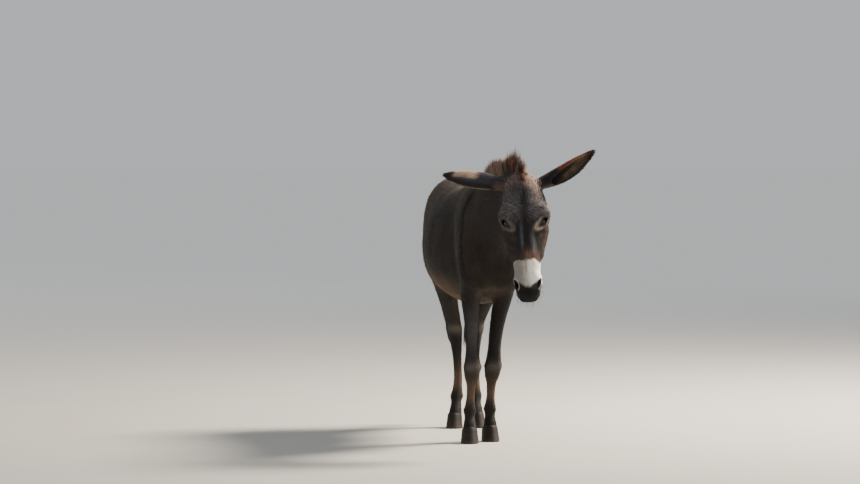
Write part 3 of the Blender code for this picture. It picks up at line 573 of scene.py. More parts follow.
def head_relief(p, lines):
    """Folds, ridges and hollows of the head, as height over the smooth shape."""
    x, f, s = in_head(p)
    ax = np.abs(x)
    rise = np.zeros(len(p))
    # flat nose bone with an edge on each side, and the hollow beside it
    rise += 0.0022 * bump(ax, 0.026, 0.01) * bump(s, 0.29, 0.07) * step(f, 0.0, 0.03)
    rise -= 0.003 * bump(ax, 0.045, 0.014) * bump(s, 0.3, 0.06) * step(f, -0.01, 0.02)
    # hollow over the eye, crest of the cheek bone, edge of the jaw muscle
    rise -= 0.0022 * bump(ax, 0.062, 0.018) * bump(s, 0.108, 0.022) * step(f, -0.02, 0.02)
    rise += 0.003 * bump(f, -0.012, 0.008) * bump(s, 0.24, 0.05) * step(ax, 0.03, 0.05)
    rise -= 0.0016 * bump(s - 0.6 * f, 0.31, 0.018) * bump(f, -0.055, 0.03)
    # groove between the lips, wrinkles over the nose and under the nostrils
    across, run = mouth_line(f, s)
    lips = lines * step(run, -0.3, 0.0) * fall(run, 0.9, 1.05)
    rise -= 0.006 * bump(across, 0.0, 0.0024) * lips
    rise += 0.0022 * (bump(across, 0.007, 0.004) + bump(across, -0.0065, 0.004)) * lips
    ripple = np.sin(s * 900 + 6 * np.sin(x * 90)) * bump(s, 0.4, 0.022) * step(f, -0.01, 0.02)
    rise += 0.0005 * ripple
    # furrow down the middle of the upper lip
    rise -= 0.0022 * bump(x, 0.0, 0.004) * bump(s, 0.468, 0.022) * step(f, -0.02, 0.01)
    return rise


def body_relief(p):
    """Bones, muscles and tendons that show under the coat."""
    x, y, z = p.T
    ax = np.abs(x)
    rise = np.zeros(len(p))
    trunk = step(z, 0.6, 0.66)
    # blade of the shoulder and the crease behind it, ribs, hollow of the flank, hip bone
    rise -= 0.006 * bump(y + 0.1 * (z - 0.8), -0.215, 0.02) * bump(z, 0.78, 0.13) * trunk
    rise += 0.0035 * bump(y + 0.45 * (z - 0.95), -0.35, 0.018) * bump(z, 0.93, 0.07)
    ribs = np.sin(y * 105 + 9 * (z - 0.8)) * bump(y, 0.02, 0.15) * bump(z, 0.79, 0.11)
    rise += 0.0005 * ribs * step(ax, 0.1, 0.16)
    rise -= 0.007 * bump(y, 0.24, 0.05) * bump(z, 0.9, 0.06) * step(ax, 0.08, 0.14)
    rise += 0.006 * bump(y, 0.33, 0.03) * bump(z, 0.985, 0.035) * step(ax, 0.07, 0.11)
    # fold from the flank to the stifle, groove between the thigh muscles
    rise += (0.005 * bump(y - 0.5 * (0.7 - z), 0.205, 0.022) * bump(z, 0.69, 0.06)
             * step(ax, 0.08, 0.12))
    rise -= (0.0045 * bump(y - 0.25 * (z - 0.8), 0.43, 0.016) * bump(z, 0.78, 0.11)
             * step(ax, 0.09, 0.13))
    # groove of the back, jugular groove of the neck, hollow of the breast
    rise -= 0.0025 * bump(x, 0.0, 0.016) * step(z, 1.0, 1.05) * bump(y, 0.3, 0.2)
    rise -= 0.005 * bump(x, 0.0, 0.02) * bump(y, -0.5, 0.04) * bump(z, 0.74, 0.08)
    for name in STANCE:
        rise += leg_relief(name, p)
    return rise


def leg_relief(name, p):
    near, across, share = on_leg(name, p, 0.06, 0.03)
    z = p[:, 2]
    outer = np.abs(across) / 0.02
    rise = np.zeros(len(z))
    if name.startswith("fore"):
        # knee, tendons behind the cannon, fetlock
        rise += 0.0028 * bump(z, 0.312, 0.016) * step(outer, 0.6, 1.3)
        rise += 0.0022 * bump(z, 0.278, 0.01) * bump(share, 0.1, 0.35)
        rise -= 0.003 * bump(share, 0.62, 0.12) * bump(z, 0.2, 0.055)
        rise -= 0.0022 * bump(share, 0.66, 0.1) * bump(z, 0.43, 0.08)
    else:
        # hock, tendons behind the cannon
        rise += 0.003 * bump(z, 0.42, 0.02) * step(outer, 0.7, 1.4)
        rise -= 0.0036 * bump(share, 0.72, 0.09) * bump(z, 0.5, 0.05)
        rise -= 0.003 * bump(share, 0.6, 0.12) * bump(z, 0.24, 0.08)
    rise += 0.0018 * bump(z, 0.132, 0.01) * step(outer, 0.6, 1.2)
    rise -= 0.002 * bump(z, 0.092, 0.01) * bump(share, 1.0, 0.3)
    return rise * near * (z < 0.6)


# --- The whole skin ---
TRUNK_SHAPE = blend_all(trunk_shapes())
LEG_SHAPES = {name: blend_all(leg_shapes(name)) for name in STANCE}
HEAD_SHAPE = blend_all(head_shapes())
TAIL_SHAPE = blend_all(tail_shapes())
EAR_SHAPES = {which: ear_shape(which) for which in EAR_ROOTS}
# the animal without its coat's depth and folds, as in the solids
smooth_body = blend_all([(TRUNK_SHAPE, 0.02), *((shape, 0.028) for shape in LEG_SHAPES.values()),
                         (HEAD_SHAPE, 0.035), (TAIL_SHAPE, 0.02)])


def skin(p, lines=1.0):
    """The skin: under the coat by its depth, with ears, lids, nostrils and lips."""
    total = smooth_body(p)
    close = np.abs(total) < FOLDS_WITHIN
    q = p[close]
    if len(q):
        total[close] += coat_depth(q)
        head = q[:, 1] < HEAD_FROM
        rise = np.zeros(len(q))
        if head.any():
            rise[head] = head_relief(q[head], lines) * step(-q[head, 1], 0.7, 0.8)
        if (~head).any():
            rise[~head] = body_relief(q[~head])
        total[close] -= rise
    for side in SIDES:
        near = (np.abs(p - EYES[side][0]) < 0.075).all(1)
        if near.any():
            total[near] = with_eye(side, p[near], total[near], lines)
        nostril = on_head(side * 0.0425, 0.02, 0.44)
        near = (np.abs(p - nostril) < 0.06).all(1)
        if near.any():
            total[near] = with_nostril(side, p[near], total[near])
    for shape in EAR_SHAPES.values():
        near = near_box(shape, p)
        if near.any():
            total[near] = join(total[near], shape(p[near]), 0.014)
    return total


def with_eye(side, p, d, lines):
    """Lids over the eyeball, on the round rim of the socket."""
    a, b, out = in_eye(side, p)
    rim = np.sqrt((a * 0.86) ** 2 + b * b + (out + 0.004) ** 2) - (EYE_RADIUS + 0.0005)
    d = join(d, rim, 0.026)
    d = join(d, length_of(a, b, out) - (EYE_RADIUS + LID), 0.008)
    gap = lid_gap(a, b)
    # crease over the upper lid and under the lower one
    d = d + 0.0014 * lines * bump(gap, 0.0072, 0.002) * step(b, -0.004, 0.006)
    d = d + 0.0008 * lines * bump(gap, 0.0085, 0.002) * step(-b, -0.002, 0.006)
    return common(d, -np.maximum(gap, 0.0035 - out), 0.0012)


NOSTRIL_DEPTH = -0.016
NOSTRILS = {side: (on_head(side * 0.0425, 0.0215, 0.4385),
                   *slit_frame(side, (0.8, 0.58, 0.1), (0.22, -0.1, -0.97))) for side in SIDES}


def in_nostril(side, p):
    centre, slit, across, out = NOSTRILS[side]
    q = p - centre
    a = q @ slit
    return a, q @ across * side - 0.25 * a * a / 0.018, q @ out


def with_nostril(side, p, d):
    """A comma-shaped nostril with a soft raised rim."""
    a, b, out = in_nostril(side, p)
    wide = 0.007 * (1 - 0.35 * np.clip(a / 0.018, -1, 1))
    gap = (np.sqrt((a / 0.0175) ** 2 + (b / wide) ** 2) - 1) * 0.0075
    d = d - 0.0026 * bump(gap, 0.0035, 0.004)
    return common(d, -np.maximum(gap, NOSTRIL_DEPTH - out), 0.003)


# --- Meshing ---
BLOCK = 8                     # cells along the edge of a block


def block_middles(low, blocks, cell):
    return [a + cell * (BLOCK * np.arange(n) + (BLOCK - 1) / 2) for a, n in zip(low, blocks)]


def mesh_points(axes):
    return np.stack(np.meshgrid(*axes, indexing="ij"), -1).reshape(-1, 3)


def sample(field, low, high, cell):
    """Field values on a grid.  Blocks far from the surface keep the value of their middle."""
    blocks = [int(round((b - a) / cell / BLOCK + 0.4999)) for a, b in zip(low, high)]
    axes = [a + cell * np.arange(n * BLOCK) for a, n in zip(low, blocks)]
    coarse = field(mesh_points(block_middles(low, blocks, cell))).reshape(blocks)
    values = np.kron(coarse, np.ones((BLOCK,) * 3)).astype(np.float32)
    near = np.argwhere(np.abs(coarse) < BLOCK * cell * 0.87 * 1.7)
    inner = mesh_points([np.arange(BLOCK)] * 3)
    for start in range(0, len(near), 300):
        index = (near[start:start + 300, None, :] * BLOCK + inner[None]).reshape(-1, 3)
        values[tuple(index.T)] = field(np.array(low) + index * cell)
    return axes, values


def middles_of(cells, values):
    """The mean of the places where each cell's edges cross the surface, in cells."""
    total = np.zeros((len(cells), 3))
    hits = np.zeros(len(cells))
    for axis in range(3):
        others = [a for a in range(3) if a != axis]
        for corner in np.ndindex(2, 2):
            a = cells.copy()
            a[:, others] += corner
            b = a.copy()
            b[:, axis] += 1
            va, vb = values[tuple(a.T)], values[tuple(b.T)]
            crossed = (va < 0) != (vb < 0)
            spot = a.astype(float)
            spot[:, axis] += np.where(crossed, va / np.where(crossed, va - vb, 1.0), 0.0)
            total += spot * crossed[:, None]
            hits += crossed
    return total / hits[:, None]


def surface(axes, values):
    """Quads of the zero level: one vertex per crossed cell, one face per crossed edge."""
    inside = values < 0
    n = np.array(values.shape) - 1
    count = sum(inside[i:i + n[0], j:j + n[1], k:k + n[2]].astype(np.int8)
                for i, j, k in np.ndindex(2, 2, 2))
    cells = np.argwhere((count > 0) & (count < 8))
    index = np.full(n, -1, np.int32)
    index[tuple(cells.T)] = np.arange(len(cells))
    cell = axes[0][1] - axes[0][0]
    points = middles_of(cells, values) * cell + np.array([a[0] for a in axes])
    faces = []
    for axis, (b, c) in enumerate([(1, 2), (2, 0), (0, 1)]):
        low, high = [slice(None)] * 3, [slice(None)] * 3
        low[axis], high[axis] = slice(0, -1), slice(1, None)
        edges = np.argwhere(inside[tuple(low)] != inside[tuple(high)])
        edges = edges[((edges[:, [b, c]] > 0) & (edges[:, [b, c]] < n[[b, c]])).all(1)]
        was_inside = inside[tuple(low)][tuple(edges.T)]
        corners = []
        for back in ((-1, -1), (0, -1), (0, 0), (-1, 0)):
            q = edges.copy()
            q[:, [b, c]] += back
            corners.append(index[tuple(q.T)])
        quads = np.stack(corners, 1)
        quads[~was_inside] = quads[~was_inside][:, ::-1]
        faces.append(quads)
    return points, np.concatenate(faces)


def slopes(field, points, h=0.0008):
    return np.column_stack([(field(points + d) - field(points - d)) / (2 * h)
                            for d in np.eye(3) * h])


def settle(field, points, most, rounds=2):
    """Move points onto the zero level."""
    for _ in range(rounds):
        slope = slopes(field, points)
        move = (field(points) / np.maximum((slope ** 2).sum(1), 0.1))[:, None] * slope
        size = np.linalg.norm(move, axis=1, keepdims=True)
        points = points - move * np.minimum(1, most / np.maximum(size, 1e-9))
    return points


def edges_of(faces):
    return np.concatenate([faces[:, [i, (i + 1) % 4]] for i in range(4)])


def relax(points, faces, amount, fixed):
    """Even out the spacing of a mesh's points, apart from the fixed ones."""
    edges = edges_of(faces)
    edges = np.concatenate([edges, edges[:, ::-1]])
    count = np.bincount(edges[:, 0], minlength=len(points))
    total = np.column_stack([np.bincount(edges[:, 0], column, minlength=len(points))
                             for column in points[edges[:, 1]].T])
    mean = total / np.maximum(count, 1)[:, None]
    keep = (count > 0) & ~fixed
    points = points.copy()
    points[keep] += amount * (mean[keep] - points[keep])
    return points


def open_loop(faces, count):
    """The one open edge of a mesh, as a ring of points in order."""
    edges = edges_of(faces)
    keys = edges.min(1).astype(np.int64) * count + edges.max(1)
    _, first, times = np.unique(keys, return_index=True, return_counts=True)
    rim = edges[first[times == 1]].tolist()
    after = dict(rim)
    ring = [rim[0][0]]
    while after[ring[-1]] != ring[0]:
        ring.append(after[ring[-1]])
    if len(ring) != len(after):
        raise ValueError("the seam of the neck isn't one ring: %d of %d" % (len(ring), len(after)))
    return ring


def zip_rings(points, ring_a, ring_b):
    """Triangles between two rings round the neck, walked by their angle."""
    middle = points[ring_a + ring_b].mean(0)

    def walked(ring):
        q = points[ring] - middle
        angle = np.arctan2(q[:, 2], q[:, 0])
        if np.unwrap(angle)[-1] < np.unwrap(angle)[0]:
            ring, angle = ring[::-1], angle[::-1]
        first = int(np.argmin(angle))
        ring = list(ring[first:]) + list(ring[:first])
        angle = np.unwrap(np.concatenate([angle[first:], angle[:first]]))
        return ring + [ring[0]], np.append(angle, angle[0] + 2 * math.pi)
    (a, angle_a), (b, angle_b) = walked(ring_a), walked(ring_b)
    i = j = 0
    faces = []
    while i < len(a) - 1 or j < len(b) - 1:
        if j == len(b) - 1 or (i < len(a) - 1 and angle_a[i + 1] < angle_b[j + 1]):
            faces.append((a[i], a[i + 1], b[j]))
            i += 1
        else:
            faces.append((a[i], b[j + 1], b[j]))
            j += 1
    return faces


def plain_skin(p):
    """The skin without its thin lines, for the first mesh of it."""
    return skin(p, 0.0)


def detail_zone(p, level):
    """Where the mesh of the face is made finer: round eyes, nostrils and lips."""
    f, s = in_head(p)[1:]
    zone = np.zeros(len(p), bool)
    for side in SIDES:
        a, b, out = in_eye(side, p)
        if level == 0:
            zone |= (length_of(a, b) < 0.03) & (np.abs(out - 0.01) < 0.022)
            a, b, out = in_nostril(side, p)
            zone |= length_of(a, b, out) < NOSTRIL_REACH
        else:
            zone |= (np.abs(lid_gap(a, b)) < 0.0045) & (np.abs(out - 0.014) < 0.012)
    across, run = mouth_line(f, s)
    lips = (np.abs(across) < (0.011, 0.0045)[level]) & (run > -0.35) & (run < 1.1)
    return zone | (lips & (s > 0.38))


def refined(work):
    """Finer cells round the eyes, nostrils and lips, settled onto the folds there."""
    for level in (0, 1):
        points = np.array([v.co for v in work.verts])
        zone = detail_zone(points, level)
        work.verts.index_update()
        edges = [e for e in work.edges if zone[e.verts[0].index] and zone[e.verts[1].index]]
        bmesh.ops.subdivide_edges(work, edges=edges, cuts=1, use_grid_fill=True)
        points = np.array([v.co for v in work.verts])
        zone = detail_zone(points, level)
        points[zone] = settle(skin, points[zone], 0.004, 3)
        for vert, point in zip(work.verts, points):
            vert.co = point
    bmesh.ops.recalc_face_normals(work, faces=work.faces)
    return work


def skin_mesh():
    """The skin as one closed mesh: fine cells on the head and ears, coarser ones behind."""
    coarse = sample(plain_skin, (-0.29, NECK_SEAM, 0.005), (0.29, 0.7, 1.14), BODY_CELL)
    body_points, body_faces = surface(*coarse)
    low = (-0.31, -1.08, 0.56)
    deep = int(math.ceil((NECK_SEAM - low[1]) / HEAD_CELL / BLOCK)) * BLOCK
    low = (low[0], NECK_SEAM - (deep - 1) * HEAD_CELL, low[2])
    fine = sample(plain_skin, low, (0.39, NECK_SEAM, 1.24), HEAD_CELL)
    head_points, head_faces = surface(*fine)
    joined = np.concatenate([body_points, head_points])
    body_ring = open_loop(body_faces, len(joined))
    head_ring = [i + len(body_points) for i in open_loop(head_faces, len(joined))]
    quads = np.concatenate([body_faces, head_faces + len(body_points)])
    rings = np.isin(np.arange(len(joined)), body_ring + head_ring)
    joined = settle(plain_skin, joined, HEAD_CELL)
    joined = relax(joined, quads, 0.5, fixed=rings)
    joined = settle(plain_skin, joined, HEAD_CELL, 1)
    work = bmesh.new()
    corners = [work.verts.new(p) for p in joined]
    for face in quads.tolist() + zip_rings(joined, body_ring, head_ring):
        work.faces.new([corners[i] for i in face])
    return refined(work)


# --- Unwrap: every part of the body is slit along its underside and rolled flat ---
# left, bottom, right and top of each part's place on the map; the length that its height
# stands for, and where along the part it starts
CHARTS = {
    "trunk": (0.01, 0.01, 0.52, 0.5, 1.16, -0.56), "neck": (0.54, 0.01, 0.76, 0.25, 0.66, -0.1),
    "tail": (0.78, 0.01, 0.99, 0.25, 0.62, -1.02),
    "ear_left_back": (0.54, 0.27, 0.64, 0.5, 0.33, -0.03),
    "ear_left_cup": (0.655, 0.27, 0.755, 0.5, 0.33, -0.03),
    "ear_right_back": (0.77, 0.27, 0.87, 0.5, 0.33, -0.03),
    "ear_right_cup": (0.885, 0.27, 0.985, 0.5, 0.33, -0.03),
    "head": (0.01, 0.52, 0.52, 0.99, 0.58, -0.06),
    "fore_right": (0.54, 0.52, 0.645, 0.99, 0.785, -0.8),
    "fore_left": (0.655, 0.52, 0.76, 0.99, 0.785, -0.8),
    "hind_right": (0.77, 0.52, 0.875, 0.99, 0.785, -0.8),
    "hind_left": (0.885, 0.52, 0.985, 0.99, 0.785, -0.8),
}
PART = {name: number for number, name in enumerate(CHARTS)}


def rolled(part, p):
    """Turn round a part from its slit, length along it, and its reach from the middle line."""
    x, y, z = p.T
    if part == "trunk":
        side, up, along = x, z - 0.8, y
    elif part == "neck":
        side, up, along = NECK_AXES.local(p)
    elif part == "head":
        side, up, along = in_head(p)
        up = up + 0.02
    elif part == "tail":
        spots = np.array([spot for spot, _ in TAIL])[::-1]
        middle_x, middle_y = (np.interp(z, spots[:, 2], spots[:, i]) for i in (0, 1))
        side, up, along = x - middle_x, y - middle_y, -z
    elif part.startswith("ear"):
        side, up, along = in_ear(part.split("_")[1], p)
        up = up + (0.03 if part.endswith("cup") else 0.01)
    else:
        front, back = leg_edges(part, z)
        side, up, along = x - stance_at(part, z)[0], (front + back) / 2 - y, -z
    length, start = CHARTS[part][4:]
    turn = np.arctan2(side, up) / (2 * math.pi) + 0.5
    return turn, (along - start) / length, np.sqrt(side ** 2 + up ** 2)


def nearest_part(p):
    """Which part of the body every point of the skin belongs to, as a number in PART."""
    groups = {"trunk": TRUNK_SHAPE, "neck": NECK_SHAPE, "head": HEAD_SHAPE, "tail": TAIL_SHAPE,
              **{"ear_%s_back" % which: EAR_SHAPES[which] for which in ("left", "right")},
              **LEG_SHAPES}
    best = np.full(len(p), 9.0)
    part = np.zeros(len(p), int)
    for name, shape in groups.items():
        near = near_box(shape, p)
        d = np.full(len(p), 8.0)
        if near.any():
            d[near] = shape(p[near])
        if name == "trunk":
            d = d + 0.01 + 0.05 * (p[:, 1] < -0.5)
        closer = d < best
        best[closer] = d[closer]
        part[closer] = PART[name]
    for which in EAR_ROOTS:
        mine = part == PART["ear_%s_back" % which]
        x, y, s = in_ear(which, p[mine])
        wide, deep, rim = read_curve(EAR_CURVE, s)[:3]
        inside = ellipse_distance(x, y, wide, np.where(y > 0, deep, rim)) < -0.0034
        cup = PART["ear_%s_cup" % which]
        part[np.flatnonzero(mine)[inside & (s > 0.05)]] = cup
    return part


def unwrap(points, triangles):
    """Place on the map of every corner, the same in metres of strand, and each triangle's part."""
    part_of = nearest_part(points[triangles].mean(1))
    corners = triangles.ravel()
    place, strand = np.zeros((len(corners), 2)), np.zeros((len(corners), 2))
    for number, (name, (left, bottom, right, top, length, _)) in enumerate(CHARTS.items()):
        mine = np.repeat(part_of, 3) == number
        if not mine.any():
            continue
        turn, run, reach = rolled(name, points[corners[mine]])
        by_face = turn.reshape(-1, 3)
        split = (by_face.max(1) - by_face.min(1) > 0.5)[:, None]
        turn = (by_face + (split & (by_face < 0.5))).ravel()
        place[mine, 0] = left + (right - left) * (0.01 + 0.94 * turn)
        place[mine, 1] = bottom + (top - bottom) * np.clip(run, 0, 1)
        strand[mine, 0] = turn * 2 * math.pi * float(np.median(reach))
        strand[mine, 1] = run * length
    return place, strand, part_of


# --- Markings of the coat ---
def linear(colour):
    """sRGB hex to linear."""
    values = np.array([int(colour[i:i + 2], 16) for i in (1, 3, 5)]) / 255
    return np.where(values <= 0.04045, values / 12.92, ((values + 0.055) / 1.055) ** 2.4)


# Most coat colours here are darker than the real coat's: they carry painted shade, drawing the
# animal as if it stood out of the sun.
MARKS = {name: linear(colour) for name, colour in {
    "barrel": "#25211f", "saddle": "#4b4036", "rump": "#685b50", "belly": "#4c3827",
    "chest": "#211c18", "cross": "#0c0a0a", "upper leg": "#1f1c1b", "lower leg": "#1a181a",
    "cannon": "#705a48", "inner leg": "#3a3027", "knee": "#66605a", "fetlock": "#191718",
    "neck": "#2c2725", "brow": "#605a59", "poll": "#786055", "nose bridge": "#1d1b1d",
    "pale streak": "#66656b", "cheek": "#261f1b", "rust": "#54362a", "rust light": "#82624f",
    # eye ring is the pale ring painted sunlit, for the left eye; eye ring shade is the same ring
    # painted in shade, for the right eye
    "eye ring": "#a39383", "eye ring shade": "#645a52", "lid rim": "#0f0c0b",
    # muzzle shade is painted shade laid on the white muzzle
    "muzzle": "#fffaed", "muzzle shade": "#55504a", "nose": "#090706", "lips": "#0b0909",
    # ear back is tan that is partly painted sunlight; ear slate is grey that is partly painted
    # shade
    "ear back": "#c09f86", "ear slate": "#38373c", "ear dark": "#141010", "ear tip": "#2a1811",
    # ear rim is pale hair with painted highlight
    "ear cup": "#4a3e30", "ear rim": "#b39a7c", "ear red": "#6e3d28",
}.items()}


def mix(colours, *marks):
    """Colours with marks laid over them in turn, each a name and how strongly it shows."""
    for name, amount in marks:
        amount = np.clip(amount, 0, 1)[:, None]
        colours = colours * (1 - amount) + MARKS[name] * amount
    return colours


def soft_noise(p, size, seed):
    """Slow wavering between -1 and 1, from a few crossed waves of about this size."""
    chance = np.random.default_rng(seed)
    total = np.zeros(len(p))
    for _ in range(7):
        wave = unit(chance.normal(size=3)) * 2 * math.pi / size * chance.uniform(0.6, 1.5)
        total += np.sin(p @ wave + chance.uniform(0, 6.28))
    return total / 3.2


# stripe down the shoulders: height, place along the body
CROSS_CURVE = smooth_curve([(0.7, -0.448), (0.77, -0.432), (0.83, -0.405), (0.89, -0.387),
                            (0.95, -0.384), (1.02, -0.374), (1.1, -0.362)])


def coat_colours(p, part):
    """Colour of the coat at points of the skin; part is their number in PART."""
    x, y, z = p.T
    ax = np.abs(x)
    cloud = 0.12 * soft_noise(p, 0.16, 3)
    stripe = read_curve(CROSS_CURVE, z)[0] + 0.003 * np.sin(z * 55)
    ahead = stripe - y
    spine = bump(x - 0.1 * step(-y, 0.25, 1.3), 0.0, 0.015) * step(z, 0.98, 1.03)
    reach = step(z, 0.7, 0.8) * fall(z, 1.1, 1.13) * (y < -0.25)
    blade = step(ahead, 0.008, 0.024) * fall(ahead, 0.06, 0.115) * step(ax, 0.045, 0.085)
    pale = bump(y, stripe + 0.022, 0.008) * step(z, 0.76, 0.84) * (y < -0.2)
    colours = mix(
        np.repeat(MARKS["barrel"][None], len(p), 0),
        # lighter over the back and the croup, tan along the belly and in the flank
        ("saddle", step(z, 0.93, 1.06) * 0.75 + cloud),
        ("rump", step(y, 0.1, 0.45) * step(z, 0.76, 1.03) * 0.75),
        ("belly", step(-z, -0.715, -0.62) * step(y, -0.22, -0.04) * fall(y, 0.3, 0.42)
         + cloud),
        ("neck", step(-y, 0.36, 0.46) * step(z, 0.8, 0.9) * 0.9),
        # painted shade: the breast between the forelegs darker
        ("chest", step(-y, 0.38, 0.46) * step(-z, -0.78, -0.62) * 0.8 * fall(ax, 0.07, 0.11)),
        # a lighter band over the shoulder blade, just ahead of the cross
        ("saddle", blade * step(z, 0.66, 0.74) * fall(z, 0.97, 1.04) * 0.36),
        # dark line of the back, the cross over the shoulders and the pale edge behind it
        ("cross", spine * step(y, -0.38, -0.34) * 0.85),
        ("cross", fall(np.abs(y - stripe), 0.0075, 0.0105) * reach),
        ("saddle", pale * 0.12),
        # the tail is as dark as the line of the back
        ("lower leg", (part == PART["tail"]) * 0.8))
    return np.clip(ear_marks(p, part, face_marks(p, leg_marks(p, colours))), 0.002, 1)


def leg_marks(p, colours):
    for name in STANCE:
        near, across, share = on_leg(name, p, 0.085, 0.04)
        mine = near & (p[:, 2] < 0.7)
        if not mine.any():
            continue
        q = p[mine]
        h = q[:, 2]
        inward = across[mine] * (1 if name.endswith("right") else -1)
        share = share[mine]
        cloud = 0.1 * soft_noise(q, 0.07, 5)
        fore = name.startswith("fore")
        knee = 0.305 if fore else 0.42
        # painted sheen: a pale blue-grey streak on the leg that stands forward; a darker one on the
        # other foreleg
        streaks = {
            "fore_right": [("pale streak",
                            bump(h, 0.46, 0.1) * fall(share, 0.05, 0.4) * 0.3)],
            "fore_left": [("fetlock", bump(h, 0.45, 0.12) * 0.65)],
        }
        colours[mine] = mix(
            colours[mine],
            ("upper leg", fall(h, 0.56, 0.66)),
            ("inner leg", step(inward, 0.0, 0.022) * step(h, 0.36, 0.6) * 0.75),
            ("lower leg", fall(h, knee - 0.03, knee + 0.12) * 0.92),
            ("cannon", bump(h, 0.205, 0.06) * (0.55 + cloud) * fall(share, 0.35, 0.8)),
            ("inner leg", step(inward, 0.004, 0.018) * bump(h, 0.22, 0.1) * 0.45),
            ("knee", bump(h, knee + 0.006, 0.02) * fall(share, 0.1, 0.45) * 0.55),
            *streaks.get(name, []),
            ("fetlock", bump(h, 0.135, 0.03) * 0.75),
            ("fetlock", fall(h, 0.055, 0.085) * 0.6))
    return colours


def streak_noise(x, s, seed):
    """Narrow wavering streaks down the face, between -1 and 1."""
    chance = np.random.default_rng(seed)
    total = np.zeros(len(x))
    for _ in range(6):
        fine = chance.uniform(180, 620)
        total += np.sin(x * fine + chance.uniform(0, 6.28)
                        + 2.2 * np.sin(s * chance.uniform(15, 45)))
    return total / 3.0


def eye_marks(side, q, face, x, streak):
    """Pale ring, strongest under the eye, painted lit on the left eye and in shade on the right; a
    darker ring of painted shade round the socket; dark line of the tear duct and black edge of the
    lids.
    """
    a, b, out = in_eye(side, q)
    # far runs from 1 at the lids' edge; low is where the ring is palest, round the inner corner
    past = np.where(a > 0, a / 1.12, a)
    far = np.sqrt((past / (SLIT_LENGTH + 0.003)) ** 2 + (b / (UPPER_LID + 0.003)) ** 2)
    low = step(a / SLIT_LENGTH + 0.2 * b / UPPER_LID, 0.05, 1.0)
    near = (side * x > 0) * (np.abs(out) < 0.05)
    ring = bump(far, 1.45, 0.2 + 0.08 * low) * near * (0.12 + 0.7 * low)
    tear = bump(b, -0.1 * (a - SLIT_LENGTH), 0.0022) * step(a, 0.9 * SLIT_LENGTH, SLIT_LENGTH)
    rim = fall(lid_gap(a, b), 0.002, 0.0048) * (np.abs(out - 0.012) < 0.022) * (side * x > 0)
    return mix(
        face,
        # painted light: the left eye's ring lit, the right eye's ring shaded
        ("eye ring" if side > 0 else "eye ring shade", ring * (0.9 + 0.25 * streak)),
        # painted shade: a darker ring round the eye socket
        ("nose bridge", bump(far, 2.2, 0.4) * near * 0.45),
        ("lid rim", tear * fall(a, SLIT_LENGTH + 0.004, SLIT_LENGTH + 0.01) * near),
        ("lid rim", rim))


def nostril_marks(side, q, face, x, s):
    a, b, out = in_nostril(side, q)
    far = np.sqrt((a / 0.0175) ** 2 + (b / 0.007) ** 2)
    near = (length_of(a, b, out) < 0.026) & (side * x > 0.014)
    return mix(
        face,
        ("nose", fall(far, 1.35, 2.2) * near * (0.45 + 0.5 * step(s, 0.425, 0.445))),
        ("muzzle", bump(far, 1.5, 0.22) * near * (side * b > 0) * 0.4),
        ("lid rim", fall(far, 0.8, 1.25) * near))


def upper_face_marks(face, x, f, s, streak, cloud):
    """Grey brow, tan poll, dark band with grey streaks down the nose, red-brown above the white;
    the poll and the red-brown are painted lighter on the head's lit left.
    """
    ax = np.abs(x)
    front = step(f, -0.035, 0.02)
    poll = fall(s, 0.03, 0.075) * step(s, -0.075, -0.04) * (0.62 + 0.3 * step(x, -0.01, 0.02))
    bridge = front * step(s, 0.13, 0.2) * fall(s, 0.295, 0.335) * fall(ax, 0.028, 0.046)
    middle = bump(x, 0.001, 0.0085) * step(s, 0.02, 0.07) * fall(s, 0.26, 0.31)
    right_streak = bump(x, -0.013, 0.0055) * step(s, 0.17, 0.21) * fall(s, 0.27, 0.32)
    left_streak = bump(x, 0.03, 0.009) * step(s, 0.19, 0.23) * fall(s, 0.31, 0.335)
    # painted sunlight: the red-brown shows strongest on the lit left of the head, faint on its
    # shaded right
    sunny = 0.2 + 0.65 * step(x, -0.01, 0.03)
    above = bump(s, 0.33, 0.024) * step(f, -0.06, -0.01)
    edge_band = sunny * bump(f, -0.004 - 0.03 * step(s, 0.25, 0.33), 0.015) * step(ax, 0.045, 0.06)
    return mix(
        face,
        ("cheek", step(s, -0.06, 0.0) * (1 - front) * 0.95),
        ("brow", step(s, -0.06, 0.0) * front * fall(s, 0.15, 0.23) * (0.8 + 0.2 * streak) + cloud),
        # tan poll, warmer and lighter to the left as painted sunlight, with a painted highlight
        # running down to the brow on the left
        ("poll", poll * front * (0.85 + 0.25 * streak)),
        ("poll", bump(x, 0.052, 0.016) * fall(s, 0.06, 0.12) * front * 0.45),
        ("nose bridge", bump(x, -0.03, 0.02) * bump(s, 0.05, 0.028) * 0.55),
        # dark band down the middle, grey streaks on both sides of it
        ("nose bridge", bridge * 0.75),
        ("nose bridge", middle * 0.85),
        ("pale streak", right_streak * 0.55),
        ("pale streak", left_streak * (0.7 + 0.3 * streak)),
        # red-brown above the white and down the edges of the face: partly the coat's own colour,
        # partly painted sunlight, with a painted highlight along the lit edge of the face
        ("rust light", above * bump(x, 0.018, 0.026) * (0.75 + 0.25 * streak)),
        ("rust", above * bump(ax, 0.044, 0.014) * (0.65 + 0.25 * streak) * sunny),
        ("rust", edge_band * step(s, 0.15, 0.21) * fall(s, 0.32, 0.355)
         * (0.6 + 0.3 * streak + cloud)),
        ("rust light", edge_band * bump(s, 0.27, 0.05) * bump(f, 0.002, 0.006) * 0.45))


